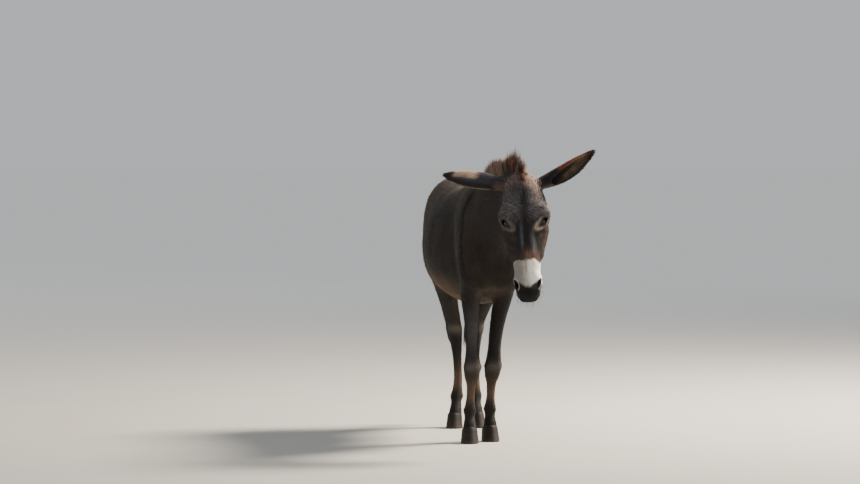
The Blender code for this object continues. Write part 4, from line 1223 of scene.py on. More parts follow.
def muzzle_marks(face, x, f, s, streak, cloud):
    """White muzzle with its tan middle line, painted shade on its right side, in the middle just
    above the nose and on its sides; dark nose and lips.
    """
    ax = np.abs(x)
    edge = 0.35 + 0.0018 * streak + 0.04 * cloud - 0.005 * bump(ax, 0.028, 0.014)
    white = step(s, edge - 0.006, edge + 0.008)
    nose_edge = 0.454 - 0.014 * step(ax, 0.008, 0.034) + 0.02 * cloud + 0.0015 * streak
    nose = step(s, nose_edge - 0.006, nose_edge + 0.007) * step(f, -0.055, -0.03)
    return mix(
        face,
        ("muzzle", white),
        # painted shade greying the white: towards the muzzle's right, in the middle above the nose,
        # and on its sides
        ("muzzle shade", white * fall(x, -0.026, 0.026) * step(f, -0.045, -0.01) * 0.84),
        ("muzzle shade", white * bump(x, 0.002, 0.014) * step(s, 0.4, 0.45) * 0.45),
        ("rust light", white * bump(x, -0.003, 0.004) * fall(s, 0.385, 0.425) * 0.62),
        ("muzzle shade", white * step(-f, 0.03, 0.06) * 0.55),
        ("nose", nose * 0.97),
        ("lips", step(s, 0.452, 0.474) * 0.9))


def face_marks(p, colours):
    head = (p[:, 1] < -0.68)
    q = p[head]
    x, f, s = in_head(q)
    cloud = 0.12 * soft_noise(q, 0.035, 8)
    streak = streak_noise(x, s, 9)
    face = upper_face_marks(colours[head], x, f, s, streak, cloud)
    for side in SIDES:
        face = eye_marks(side, q, face, x, streak)
    face = muzzle_marks(face, x, f, s, streak, cloud)
    for side in SIDES:
        face = nostril_marks(side, q, face, x, s)
    across, run = mouth_line(f, s)
    face = mix(face, ("lid rim", bump(across, 0, 0.0028) * (run > -0.2) * (run < 1.05) * 0.8))
    body_share = step(-q[:, 1], 0.72, 0.8)[:, None]
    colours[head] = colours[head] * (1 - body_share) + face * body_share
    return colours


def ear_cup_marks(ear, run, across, upper, cloud, fray):
    """Open side: tan-grey below, a dark band of painted shadow from the folded rim along the upper
    edge, narrowing to the tip, and a pale lower rim, partly pale hair and partly painted highlight.
    """
    band = -0.8 + 1.05 * step(run, 0.22, 0.85) + fray
    return mix(
        ear,
        ("ear cup", 1.0 + cloud),
        ("ear dark", bump(across, -0.15, 0.22) * 0.35 * step(run, 0.2, 0.4)),
        # painted shadow: the dark band the folded upper rim casts into the cup
        ("ear dark", step(upper, band - 0.12, band + 0.12) * 0.95),
        # pale lower rim: pale hair with painted highlight
        ("ear rim", step(-upper, 0.78, 0.9) * step(run, 0.12, 0.25) * 0.85))


def ear_back_marks(ear, run, upper, cloud, fray, left):
    """Back: tan along the upper half past the middle, slate below and at the root; the tan partly
    the ear's own colour and partly painted sunlight, the slate below it partly painted shade, the
    thin pale lower rim partly painted highlight.
    """
    # painted light: the upper half of the back tan as if sunlit, the lower half slate as if shaded
    tan = (0.45 if left else 1.0) * step(upper, -0.48 + fray, -0.15 + fray)
    tan = tan * step(run, 0.42, 0.52) * fall(run, 0.8, 0.88)
    ear = mix(ear, ("ear slate", 1 - tan * (0.85 + 2 * cloud + 0.2 * fray)))
    return mix(
        ear * (1 + 1.6 * fray)[:, None],
        ("ear dark", step(-upper, 0.45, 0.85) * 0.75),
        ("ear dark", left * step(upper, -0.2, 0.3) * fall(run, 0.45, 0.65) * 0.85),
        ("ear rim", step(-upper, 0.96, 1.0) * step(run, 0.15, 0.3) * 0.6))


def ear_marks(p, part, colours):
    for which in EAR_ROOTS:
        left = which == "left"
        for side in ("back", "cup"):
            mine = part == PART["ear_%s_%s" % (which, side)]
            if not mine.any():
                continue
            q = p[mine]
            x, _, s = in_ear(which, q)
            run = s / EAR_LENGTH
            across = x / read_curve(EAR_CURVE, s)[0]
            # towards the upper edge of the ear as it is held
            upper = across * (1 if EAR_FRAMES[which].side[2] > 0 else -1)
            cloud = 0.12 * soft_noise(q, 0.05, 11)
            ear = np.repeat(MARKS["ear back"][None], len(q), 0)
            fray = 0.1 * streak_noise(x * 1.5, s, 12)
            if side == "cup":
                ear = ear_cup_marks(ear, run, across, upper, cloud, fray)
            else:
                ear = ear_back_marks(ear, run, upper, cloud, fray, left)
            red = step(upper, 0.7, 0.88) * step(run, 0.3, 0.42) * fall(run, 0.86, 0.94)
            colours[mine] = mix(
                ear,
                ("ear red", red * (0.8 if left else 0.0)),
                ("ear dark", fall(run, 0.14, 0.3) * 0.8),
                ("cheek", fall(run, 0.04, 0.12) * 0.8),
                ("poll", fall(run, 0.14, 0.24) * step(-upper, -0.1, 0.5) * (0.35 + 2 * fray)),
                ("ear tip", step(run, 0.8, 0.9) * 0.92))
    return colours


# --- Pieces ---
def linked(name, data):
    made = bpy.data.objects.new(name, data)
    bpy.context.scene.collection.objects.link(made)
    return made


def piece(name, points, triangles, places, colours, material, normals=None):
    """A mesh of triangles in the row frame, with its map, its colours and its finish.

    places and normals are given by point, or places by corner for a piece with slits.
    """
    mesh = bpy.data.meshes.new(name)
    mesh.vertices.add(len(points))
    mesh.vertices.foreach_set("co", (points + SHIFT).astype(np.float32).ravel())
    mesh.loops.add(3 * len(triangles))
    mesh.loops.foreach_set("vertex_index", triangles.astype(np.int32).ravel())
    mesh.polygons.add(len(triangles))
    mesh.polygons.foreach_set("loop_start", np.arange(0, 3 * len(triangles), 3, dtype=np.int32))
    mesh.update(calc_edges=True)
    if places is not None:
        by_corner = places if len(places) == triangles.size else places[triangles.ravel()]
        place = mesh.uv_layers.new(name="OFBake")
        place.data.foreach_set("uv", by_corner.astype(np.float32).ravel())
    if colours is not None:
        paint(mesh, colours)
    mesh.shade_smooth()
    if normals is not None:
        mesh.normals_split_custom_set_from_vertices(normals.astype(np.float32))
    mesh.materials.append(material)
    obj = linked(name, mesh)
    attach(obj, "root")
    return obj


def paint(mesh, colours):
    layer = mesh.color_attributes.new("Coat", "FLOAT_COLOR", "POINT")
    full = np.ones((len(colours), 4), np.float32)
    full[:, :3] = colours
    layer.data.foreach_set("color", full.ravel())


def unit_rows(v):
    return v / np.maximum(np.linalg.norm(v, axis=1, keepdims=True), 1e-9)


# --- The lie of the hair ---
def lie(p, normals, part):
    """Direction the coat lies in at points of the skin."""
    x, y, z = p.T
    run = np.zeros_like(p)
    # trunk: backward, sinking towards the belly; haunch: down and back; breast: down
    run[:] = (0.0, 1.0, -0.35)
    for share, way in ((step(y, 0.2, 0.45), (0.0, 0.55, -0.85)),
                       (step(-y, 0.3, 0.46) * fall(z, 0.8, 1.0), (0.0, 0.1, -1.0))):
        run = run * (1 - share[:, None]) + share[:, None] * np.array(way)
    belly = (step(-z, -0.66, -0.58) * (y > -0.25) * (y < 0.3))[:, None]
    run = run * (1 - belly) + belly * np.column_stack([-np.sign(x) * 0.5, np.ones(len(x)), 0 * x])
    run[part == PART["neck"]] = (0.0, 0.8, -0.62)
    for name in STANCE:
        run[(part == PART[name]) & (z < 0.62)] = (0.0, 0.12, -1.0)
    run[part == PART["tail"]] = (0.0, 0.0, -1.0)
    head = part == PART["head"]
    if head.any():
        sx, f, s = in_head(p[head])
        # a whorl between the eyes: hair runs up from it to the poll and down to the nose
        flow = HEAD.along[None] * (1 - 2 * fall(s, 0.1, 0.165)[:, None])
        flow += np.sign(sx)[:, None] * LEFTWARD * (0.35 + 0.9 * bump(s, 0.13, 0.035))[:, None]
        flow += step(-f, 0.0, 0.06)[:, None] * (-HEAD.up * 0.9)
        run[head] = flow
    for which, axes in EAR_FRAMES.items():
        for side in ("back", "cup"):
            ear = part == PART["ear_%s_%s" % (which, side)]
            ex = in_ear(which, p[ear])[0]
            run[ear] = axes.along + (0.25 * np.sign(ex))[:, None] * axes.side
    run -= (run * normals).sum(1)[:, None] * normals
    return unit_rows(run)


# --- Roots on the skin ---
class Hide:
    """The skin's triangles, to root hair on."""

    def __init__(self, points, triangles, normals, places, part):
        self.points, self.triangles, self.normals = points, triangles, normals
        self.places = places.reshape(-1, 3, 2)
        self.part = part
        a, b, c = (points[triangles[:, i]] for i in range(3))
        self.middle = (a + b + c) / 3
        self.area = np.linalg.norm(np.cross(b - a, c - a), axis=1) / 2

    def roots(self, chance, spacing, where):
        """Evenly scattered roots: points, normals, places on the map, parts."""
        share = where * self.area
        total = int(share.sum() / spacing ** 2 * 2.6)
        pick = np.searchsorted(np.cumsum(share) / share.sum(), chance.random(total))
        pick = np.minimum(pick, len(share) - 1)
        u, v = np.sqrt(chance.random(total)), chance.random(total)
        weight = np.column_stack([1 - u, u * (1 - v), u * v])[:, :, None]
        points = (self.points[self.triangles[pick]] * weight).sum(1)
        # one root per cell of a grid
        cell = np.floor(points / spacing).astype(np.int64)
        key = cell[:, 0] * 73856093 ^ cell[:, 1] * 19349663 ^ cell[:, 2] * 83492791
        first = np.sort(np.unique(key, return_index=True)[1])
        pick, weight = pick[first], weight[first]
        normals = unit_rows((self.normals[self.triangles[pick]] * weight).sum(1))
        return points[first], normals, (self.places[pick] * weight).sum(1), self.part[pick]


# --- Tufts and locks ---
STRAND_SPOT = 0.0013          # half of a tuft's own place on the map


def grow(roots, normals, along, places, colours, length, width, lift, rings=2,
         bend=0.0, wave=0.0, waves=1.0, sag=0.0, thick=0.3, dark=0.78, light=1.18,
         tips=None, tip_from=2, sink=0.0006):
    """Closed three-sided hairs that taper to a point.

    length and width are in metres, lift is the rise per length, bend the sideways
    turn, wave the swing of woolly hair, sag the drop under gravity per length squared.
    """
    n = len(roots)
    side = np.cross(normals, along)
    per = rings * 3 + 1
    points, shade, facing = (np.zeros((n, per, 3)) for _ in range(3))
    spots = np.zeros((n, per, 2))
    length, width, lift, bend, wave = (
        np.broadcast_to(v, n) for v in (length, width, lift, bend, wave))
    phase = (np.arange(n) * 2.399) % 6.283
    for k, t in enumerate(np.linspace(0, 1, rings + 1)):
        spine = roots + along * (length * t)[:, None]
        spine = spine + normals * (length * lift * t * (1 - 0.45 * t) - sink * (1 - t))[:, None]
        swing = bend * t * t + wave * (np.sin(waves * 6.283 * t + phase) - np.sin(phase)) * t
        spine = spine + side * (length * swing)[:, None]
        spine = spine + np.array([0, 0, -1.0]) * (sag * length * t * t)[:, None]
        colour = colours * (dark + (light - dark) * t)
        if tips is not None:
            colour = colour * (1 - t ** tip_from) + tips * t ** tip_from
        shade[:, 3 * k:3 * k + 3] = colour[:, None]
        if k == rings:
            points[:, -1] = spine
            spots[:, -1] = (0.0, STRAND_SPOT)
            facing[:, -1] = normals + 0.3 * along
            break
        half = width * 0.5 * (1 - t ** 2.2) * (0.75 + 0.5 * min(t * 3, 1) * (rings > 2))
        points[:, 3 * k] = spine - side * half[:, None]
        points[:, 3 * k + 1] = spine + normals * (half * 2 * thick)[:, None]
        points[:, 3 * k + 2] = spine + side * half[:, None]
        for j in (-1, 0, 1):
            spots[:, 3 * k + j + 1] = (j * STRAND_SPOT, (t - 0.5) * 2 * STRAND_SPOT)
            facing[:, 3 * k + j + 1] = normals + j * 0.75 * side
    triangles = []
    for k in range(rings):
        for j in range(3):
            a, b = 3 * k + j, 3 * k + (j + 1) % 3
            triangles += [(a, b + 3, b), (a, a + 3, b + 3)] if k < rings - 1 else [(b, a, per - 1)]
    triangles.append((0, 1, 2))
    triangles = np.array(triangles)[None] + per * np.arange(n)[:, None, None]
    return (points.reshape(-1, 3), triangles.reshape(-1, 3),
            (spots + places[:, None]).reshape(-1, 2), np.clip(shade, 0.003, 1).reshape(-1, 3),
            unit_rows(facing.reshape(-1, 3)))


def together(growths):
    """Several growths as one."""
    columns = [list(column) for column in zip(*growths)]
    starts = np.cumsum([0] + [len(points) for points in columns[0]])
    columns[1] = [triangles + start for triangles, start in zip(columns[1], starts)]
    return tuple(np.concatenate(column) for column in columns)


def turned(along, normals, chance, spread):
    """Directions scattered a little sideways."""
    side = np.cross(normals, along)
    return unit_rows(along + side * chance.normal(0, spread, len(along))[:, None])


def mottled(colours, chance, amount=0.13):
    """Every hair a little lighter or darker, and warmer or colder, than its neighbours."""
    value = 1 + chance.normal(0, amount, len(colours))
    warmth = chance.normal(0, 0.03, len(colours))
    scale = np.column_stack([value * (1 + warmth), value, value * (1 - warmth)])
    return colours * np.clip(scale, 0.5, 1.6)


# --- Materials ---
MM = 0.001
STREAKS = {"Detail": 3.0, "Roughness": 0.6}
HAIR_SHINE = {"Sheen Weight": 0.03, "Specular IOR Level": 0.22}


def hex4(colour):
    return (*linear(colour), 1.0)


def feed(tree, node, inputs):
    """Give a node's inputs values, other nodes' sockets, or other nodes for their first socket."""
    for key, value in inputs.items():
        if isinstance(value, bpy.types.Node):
            value = value.outputs[0]
        if isinstance(value, bpy.types.NodeSocket):
            tree.links.new(value, node.inputs[key])
        else:
            node.inputs[key].default_value = value
    return node


def add(tree, kind, inputs=None, stops=(), **settings):
    """Add a node with its settings, its inputs and the stops of its colour ramp."""
    made = tree.nodes.new("ShaderNode" + kind)
    for key, value in settings.items():
        setattr(made, key, value)
    for number, (position, colour) in enumerate(stops):
        made.color_ramp.elements[number].position = position
        made.color_ramp.elements[number].color = hex4(colour)
    return feed(tree, made, inputs or {})


def start_material(name):
    material = bpy.data.materials.new(name)
    material.use_nodes = True
    return material, material.node_tree, material.node_tree.nodes["Principled BSDF"]


def coat_tones(tree, shader, noise, tones, dullness):
    """The coat's own colour, lighter and darker, and its dullness, both wavering with the noise."""
    light = add(tree, "MapRange", {"Value": noise, "From Min": 0.3, "From Max": 0.7,
                                   "To Min": tones[0], "To Max": tones[1]})
    dull = add(tree, "MapRange", {"Value": noise, "From Min": 0.2, "From Max": 0.8,
                                  "To Min": dullness[0], "To Max": dullness[1]})
    colour = add(tree, "Attribute", attribute_name="Coat")
    tone = add(tree, "VectorMath", {0: colour, 1: light}, operation="MULTIPLY")
    feed(tree, shader, {"Base Color": tone, "Roughness": dull, **HAIR_SHINE})


def short_coat():
    """Short coat lying flat on the hide: dull, with fine streaks along the hair."""
    material, tree, shader = start_material("short_coat_on_hide")
    # single hairs of 0.06 mm are too fine to show, so they are drawn as locks 2.5 mm wide
    lock = add(tree, "Mapping", {"Vector": add(tree, "UVMap", uv_map="Strands"),
                                 "Scale": (1 / (2.5 * MM), 1 / (16 * MM), 1.0)})
    streaks = add(tree, "TexNoise", {"Vector": lock, "Scale": 1.0, **STREAKS},
                  noise_dimensions="2D")
    coat_tones(tree, shader, streaks, (0.72, 1.22), (0.66, 0.86))
    relief = add(tree, "Bump", {"Height": streaks, "Strength": 0.55, "Distance": 0.8 * MM})
    feed(tree, shader, {"Normal": relief, "Sheen Roughness": 0.45})
    return material


def hair(name, dullness, contrast, lock_width):
    """Hair in locks: the colour wavers from lock to lock, and the shine runs along them."""
    material, tree, shader = start_material(name)
    place = add(tree, "TexCoord").outputs["Object"]
    patches = add(tree, "TexNoise", {"Vector": place, "Scale": 1 / lock_width, **STREAKS})
    coat_tones(tree, shader, patches, (1 - contrast, 1 + contrast), dullness)
    feed(tree, shader, {"Sheen Roughness": 0.4})
    return material


def eye_surface():
    """Wet cornea over a dark brown iris: very smooth, with a level black pupil."""
    material, tree, shader = start_material("cornea_over_brown_iris")
    gaze = add(tree, "Attribute", attribute_name="Gaze").outputs["Vector"]
    split = add(tree, "SeparateXYZ", {"Vector": gaze})
    # gaze is in eye radii: along the slit, up, and out
    level = add(tree, "CombineXYZ", {"X": split.outputs["X"], "Y": split.outputs["Y"]})
    reach = add(tree, "VectorMath", {0: level}, operation="LENGTH")
    oval = add(tree, "VectorMath", {0: level, 1: (2.2, 3.8, 0.0)}, operation="MULTIPLY")
    pupil = add(tree, "VectorMath", {0: oval}, operation="LENGTH")
    fibres = add(tree, "TexNoise", {"Vector": gaze, "Scale": 9.0, "Detail": 4.0, "Roughness": 0.7})
    browns = add(tree, "ValToRGB", {"Fac": fibres}, stops=((0.3, "#120a06"), (0.75, "#3a2415")))
    white = add(tree, "MapRange", {"Value": reach.outputs["Value"],
                                   "From Min": 0.8, "From Max": 0.96})
    iris = add(tree, "Mix", {"Factor": white, 6: browns, 7: hex4("#1d1511")}, data_type="RGBA")
    open_share = add(tree, "MapRange", {"Value": pupil.outputs["Value"], "From Min": 0.9,
                                        "From Max": 1.15})
    look = add(tree, "Mix", {"Factor": open_share, 6: hex4("#050404"), 7: iris.outputs[2]},
               data_type="RGBA")
    feed(tree, shader, {"Base Color": look.outputs[2], "Roughness": 0.1, "IOR": 1.376,
                        "Coat Weight": 0.8, "Coat Roughness": 0.04})
    return material


def hoof_horn():
    """Hoof horn: growth rings every few millimetres, fine upright tubes, dry and dusty."""
    material, tree, shader = start_material("dark_hoof_horn")
    place = add(tree, "TexCoord").outputs["Object"]
    rings = add(tree, "Mapping", {"Vector": place, "Scale": (6.0, 6.0, 1 / (4 * MM))})
    growth = add(tree, "TexNoise", {"Vector": rings, "Scale": 1.0, "Detail": 3.0})
    # tubes of 0.2 mm are too fine to show, so they are drawn 1.5 mm wide
    upright = add(tree, "Mapping", {"Vector": place,
                                    "Scale": (1 / (1.5 * MM), 1 / (1.5 * MM), 14.0)})
    tubes = add(tree, "TexNoise", {"Vector": upright, "Scale": 1.0,
                                   "Detail": 4.0, "Roughness": 0.65})
    both = add(tree, "Math", {0: growth, 1: tubes}, operation="ADD")
    half = add(tree, "Math", {0: both, 1: 0.5}, operation="MULTIPLY")
    tones = add(tree, "ValToRGB", {"Fac": half}, stops=((0.34, "#0f0d0c"), (0.66, "#2e2723")))
    height = add(tree, "SeparateXYZ", {"Vector": place}).outputs["Z"]
    dusty = add(tree, "MapRange", {"Value": height, "From Min": 0.0, "From Max": 0.022,
                                   "To Min": 0.3, "To Max": 0.0})
    dust = add(tree, "Mix", {"Factor": dusty, 6: tones, 7: hex4("#5f5345")}, data_type="RGBA")
    dull = add(tree, "MapRange", {"Value": tubes, "To Min": 0.48, "To Max": 0.78})
    relief = add(tree, "Bump", {"Height": half, "Strength": 0.5, "Distance": 0.5 * MM})
    feed(tree, shader, {"Base Color": dust.outputs[2], "Roughness": dull, "Normal": relief,
                        "Specular IOR Level": 0.22})
    return material


def painted_floor():
    """Matt studio floor: mid grey paint under the animal, paler further out."""
    material, tree, shader = start_material("matt_studio_floor_paint")
    place = add(tree, "TexCoord").outputs["Object"]
    grain = add(tree, "TexNoise", {"Vector": place, "Scale": 3.0, "Detail": 3.0})
    tones = add(tree, "ValToRGB", {"Fac": grain}, stops=((0.0, "#aaa7a1"), (1.0, "#b2afa9")))
    reach = add(tree, "VectorMath", {0: place}, operation="LENGTH").outputs["Value"]
    out = add(tree, "MapRange", {"Value": reach, "From Min": 2.0, "From Max": 14.0},
              interpolation_type="SMOOTHSTEP")
    paint = add(tree, "Mix", {"Factor": out, 6: tones, 7: hex4("#f0efed")}, data_type="RGBA")
    feed(tree, shader, {"Base Color": paint.outputs[2], "Roughness": 0.9})
    return material


# --- The skin ---
def arrays_of(work):
    """Points, triangles and normals of a closed mesh."""
    bmesh.ops.triangulate(work, faces=work.faces)
    bmesh.ops.recalc_face_normals(work, faces=work.faces)
    work.verts.index_update()
    work.normal_update()
    points = np.array([v.co for v in work.verts])
    triangles = np.array([[v.index for v in face.verts] for face in work.faces])
    normals = np.array([v.normal for v in work.verts])
    work.free()
    return points, triangles, normals


POINTS, TRIANGLES, NORMALS = arrays_of(skin_mesh())
PLACES, STRANDS, PARTS = unwrap(POINTS, TRIANGLES)
HIDE_COLOURS = coat_colours(POINTS, nearest_part(POINTS))
HIDE = Hide(POINTS, TRIANGLES, NORMALS, PLACES, PARTS)

skin_piece = piece("skin", POINTS, TRIANGLES, PLACES, HIDE_COLOURS, short_coat())
strand_map = skin_piece.data.uv_layers.new(name="Strands")
strand_map.data.foreach_set("uv", STRANDS.astype(np.float32).ravel())
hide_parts("trunk", "neck", "head", "ear_left", "ear_right", "tail_dock",
            "foreleg_left_upper", "foreleg_left_lower",
            "foreleg_right_upper", "foreleg_right_lower",
            "hindleg_left_upper", "hindleg_left_lower",
            "hindleg_right_upper", "hindleg_right_lower")


# --- Short coat in tufts ---
def numbers(*names):
    return [PART[name] for name in names]


def bare_places(p):
    """0 where no hair grows: lids' edges, nostrils, lips, and the feet inside the hooves."""
    f, s = in_head(p)[1:]
    grows = np.ones(len(p))
    for side in SIDES:
        a, b, out = in_eye(side, p)
        near = (np.abs(out - 0.01) < 0.02) & (length_of(a, b) < 0.05)
        grows *= np.where(near, step(lid_gap(a, b), 0.0035, 0.0045), 1.0)
        a, b, out = in_nostril(side, p)
        grows *= length_of(a, b, out) >= NOSTRIL_REACH
    across, run = mouth_line(f, s)
    lips = (s > 0.455) | ((np.abs(across) < 0.005) & (run > -0.2) & (run < 1.0))
    return grows * ~(lips & (p[:, 1] < -0.7)) * (p[:, 2] > COAT_ENDS)


def coat(seed, parts, spacing, length, width, lift=0.22, keep=None, wave=0.0, rings=2,
         spread=0.22, amount=0.14, light=1.16, dark=0.76):
    """Short tufts on these parts of the skin; length and width can be functions of the place."""
    chance = np.random.default_rng(seed)
    grows = np.isin(HIDE.part, parts).astype(float) * (bare_places(HIDE.middle) > 0.5)
    if keep is not None:
        grows = grows * keep(HIDE.middle)
    roots, normals, places, part = HIDE.roots(chance, spacing, grows)
    along = turned(lie(roots, normals, part), normals, chance, spread)
    colours = mottled(coat_colours(roots, part), chance, amount)
    size = chance.uniform(0.75, 1.25, len(roots))
    length, width = (v(roots) if callable(v) else v for v in (length, width))
    return grow(roots, normals, along, places, colours, length * size, width * size,
                np.clip(lift + chance.normal(0, 0.06, len(roots)), 0.02, 0.8), rings=rings,
                bend=chance.normal(0, 0.12, len(roots)), wave=wave, light=light, dark=dark)


def coat_piece(name, growth, material, slot):
    points, triangles, places, shades, facing = growth
    made = piece(name, points, triangles, places, shades, material, normals=facing)
    return made


SHORT_HAIR = hair("short_coat_tufts", (0.62, 0.86), 0.16, 0.012)
WOOL = hair("woolly_forehead_hair", (0.7, 0.9), 0.14, 0.014)
COARSE_HAIR = hair("coarse_mane_and_tail_hair", (0.48, 0.72), 0.24, 0.009)


def body_hair_length(p):
    """Longer under the belly, on the breast and behind the thighs."""
    long_hair = step(-p[:, 2], -0.66, -0.57) + step(-p[:, 1], 0.42, 0.5) + step(p[:, 1], 0.46, 0.56)
    return 0.019 + 0.01 * np.clip(long_hair, 0, 1)


def leg_hair_length(p):
    """Short on the cannons, longer up the leg and behind the fetlocks."""
    length = 0.009 + 0.009 * step(p[:, 2], 0.35, 0.65)
    for name in STANCE:
        near, _, share = on_leg(name, p, 0.06, 0.03)
        length += near * 0.018 * bump(p[:, 2], 0.125, 0.022) * step(share, 0.6, 1.0)
    return length


def from_eyes(p):
    """0 at the lids, 1 from 35 mm away."""
    away = np.ones(len(p))
    for side in SIDES:
        reach = np.linalg.norm(p - EYES[side][0], axis=1) - EYE_RADIUS
        away = np.minimum(away, np.where(in_head(p)[0] * side > 0, step(reach, 0.004, 0.036), 1.0))
    return away


def face_hair_length(p):
    """Long on the forehead and under the jaw, very short on the nose and round the eyes."""
    f, s = in_head(p)[1:]
    length = 0.0165 - 0.0085 * step(s, 0.16, 0.3) - 0.003 * step(s, 0.34, 0.4)
    length = length + 0.009 * step(-f, 0.06, 0.095) * fall(s, 0.26, 0.36)
    return 0.0048 + (length - 0.0048) * from_eyes(p)


def face_hair_width(p):
    return 0.0018 + 0.12 * (face_hair_length(p) - 0.005)


def woolly_places(p):
    x, f, s = in_head(p)
    forehead = (s > -0.06) & (s < 0.185) & (f > 0.0) & (np.abs(x) < 0.075)
    cheek = (s > 0.02) & (s < 0.2) & (f < 0.0) & (f > -0.1)
    return (forehead * 1.0 + cheek * 0.35) * (from_eyes(p) > 0.62)


def trunk_stretch(side, low, high):
    """A test for the points on one side of the trunk, between two places along it."""
    return lambda p: ((p[:, 0] * side >= 0) & (p[:, 1] >= low) & (p[:, 1] < high)).astype(float)


# stretch of the trunk: where it starts and ends, and the seeds of its left and right side
TRUNK_STRETCHES = {"shoulder": (-9, -0.16, 11, 12), "barrel": (-0.16, 0.2, 31, 32),
                   "rump": (0.2, 9, 33, 34)}
for place_name, (low, high, *seeds) in TRUNK_STRETCHES.items():
    for side, side_name, seed in zip(SIDES, ("left", "right"), seeds):
        tufts = coat(seed, numbers("trunk"), 0.0054, body_hair_length, 0.0036, lift=0.19,
                     keep=trunk_stretch(side, low, high))
        coat_piece("coat_%s_%s" % (place_name, side_name), tufts, SHORT_HAIR, "trunk")

# piece: slot; seed, parts, spacing, length and width of its tufts; how they stand
COATS = {
    "coat_neck": ("neck", (13, ["neck"], 0.0056, 0.019, 0.0036), {}),
    "coat_legs_fore": ("foreleg_left_upper", (
        14, ["fore_right", "fore_left"], 0.0055, leg_hair_length, 0.0032), {"lift": 0.15}),
    "coat_legs_hind": ("hindleg_left_upper", (
        15, ["hind_right", "hind_left"], 0.0055, leg_hair_length, 0.0032), {"lift": 0.15}),
    "coat_tail_dock": ("tail_dock", (16, ["tail"], 0.0055, 0.026, 0.0036), {"lift": 0.12}),
    "coat_ears": ("ear_left", (
        17, [name for name in CHARTS if name.startswith("ear")], 0.0046, 0.0105, 0.0024),
        {"lift": 0.12, "spread": 0.15}),
    "coat_head": ("head", (18, ["head"], 0.0044, face_hair_length, face_hair_width),
                  {"lift": 0.14, "spread": 0.25}),
    "coat_forehead_wool": ("head", (19, ["head"], 0.0058, 0.022, 0.0028), {
        "lift": 0.32, "rings": 3, "wave": 0.1, "keep": woolly_places, "spread": 0.42,
        "amount": 0.3, "light": 1.6, "dark": 0.45}),
}
for name, (slot, (seed, parts, *sizes), stand) in COATS.items():
    tufts = coat(seed, numbers(*parts), *sizes, **stand)
    coat_piece(name, tufts, WOOL if name.endswith("wool") else SHORT_HAIR, slot)


# --- Mane, tail tassel, lashes and whiskers ---
def at_right_angles(v, axis):
    """Directions turned square to an axis, row by row."""
    v = unit_rows(v)
    return unit_rows(v - (v * axis).sum(1)[:, None] * axis)


def plain_hair(colour, count, chance, amount=0.13):
    return mottled(np.repeat(linear(colour)[None], count, 0), chance, amount)


MANE_POINTS, MANE_HEIGHTS = (np.array(column) for column in zip(*MANE))
MANE_STEPS = np.append(0, np.cumsum(np.linalg.norm(np.diff(MANE_POINTS, axis=0), axis=1)))
MANE_CREST = smooth_curve(np.column_stack([MANE_STEPS, MANE_POINTS]))
MANE_LOCKS = 3600
MANE_TUFTS = 23
MANE_SUNK = 0.016             # how far the locks start under the crest


def crest_at(s):
    """Points of the neck's crest, and the directions ahead, aside and up there."""
    path, ahead, behind = (np.column_stack(read_curve(MANE_CREST, s + by))
                           for by in (0, 0.02, -0.02))
    ahead = ahead - behind
    ahead[np.abs(ahead).sum(1) < 1e-4] = (0, -1, 0)
    ahead = unit_rows(ahead)
    side = unit_rows(np.cross(ahead, UPWARD))
    return path, ahead, side, np.cross(side, ahead)


def mane_colours(chance, y, across, share):
    """Colours of roots and tips, and how sunny each tip is.

    Tan over the withers, dark near the poll with orange-red painted sunlight on the tips of its lit
    side, brown at the forelock.
    """
    poll = step(-y, 0.52, 0.68)
    front = step(-y, 0.765, 0.8)[:, None]
    # painted sunlight: orange-red tips on the lit side of the locks near the poll
    sunny = (poll * step(across, 0.1, 0.8) * bump(y, -0.7, 0.045) * step(share, 0.78, 0.9))[:, None]
    poll = poll[:, None]
    base = (1 - poll) * linear("#5a4a3f") + poll * linear("#2c2725")
    grey = 0.75 * poll * (1 - sunny)
    tips = (1 - sunny - grey) * linear("#977d6c") + grey * linear("#5c524c")
    tips = tips + sunny * linear("#b4532f")
    base = base * (1 - front) + linear("#4a3529") * front
    tips = tips * (1 - front) + linear("#8a6653") * front
    base = base * (1 + 0.7 * np.abs(across)[:, None] ** 2)
    colours = mottled(base, chance, 0.2)
    return colours, mottled(tips, chance, 0.34), sunny


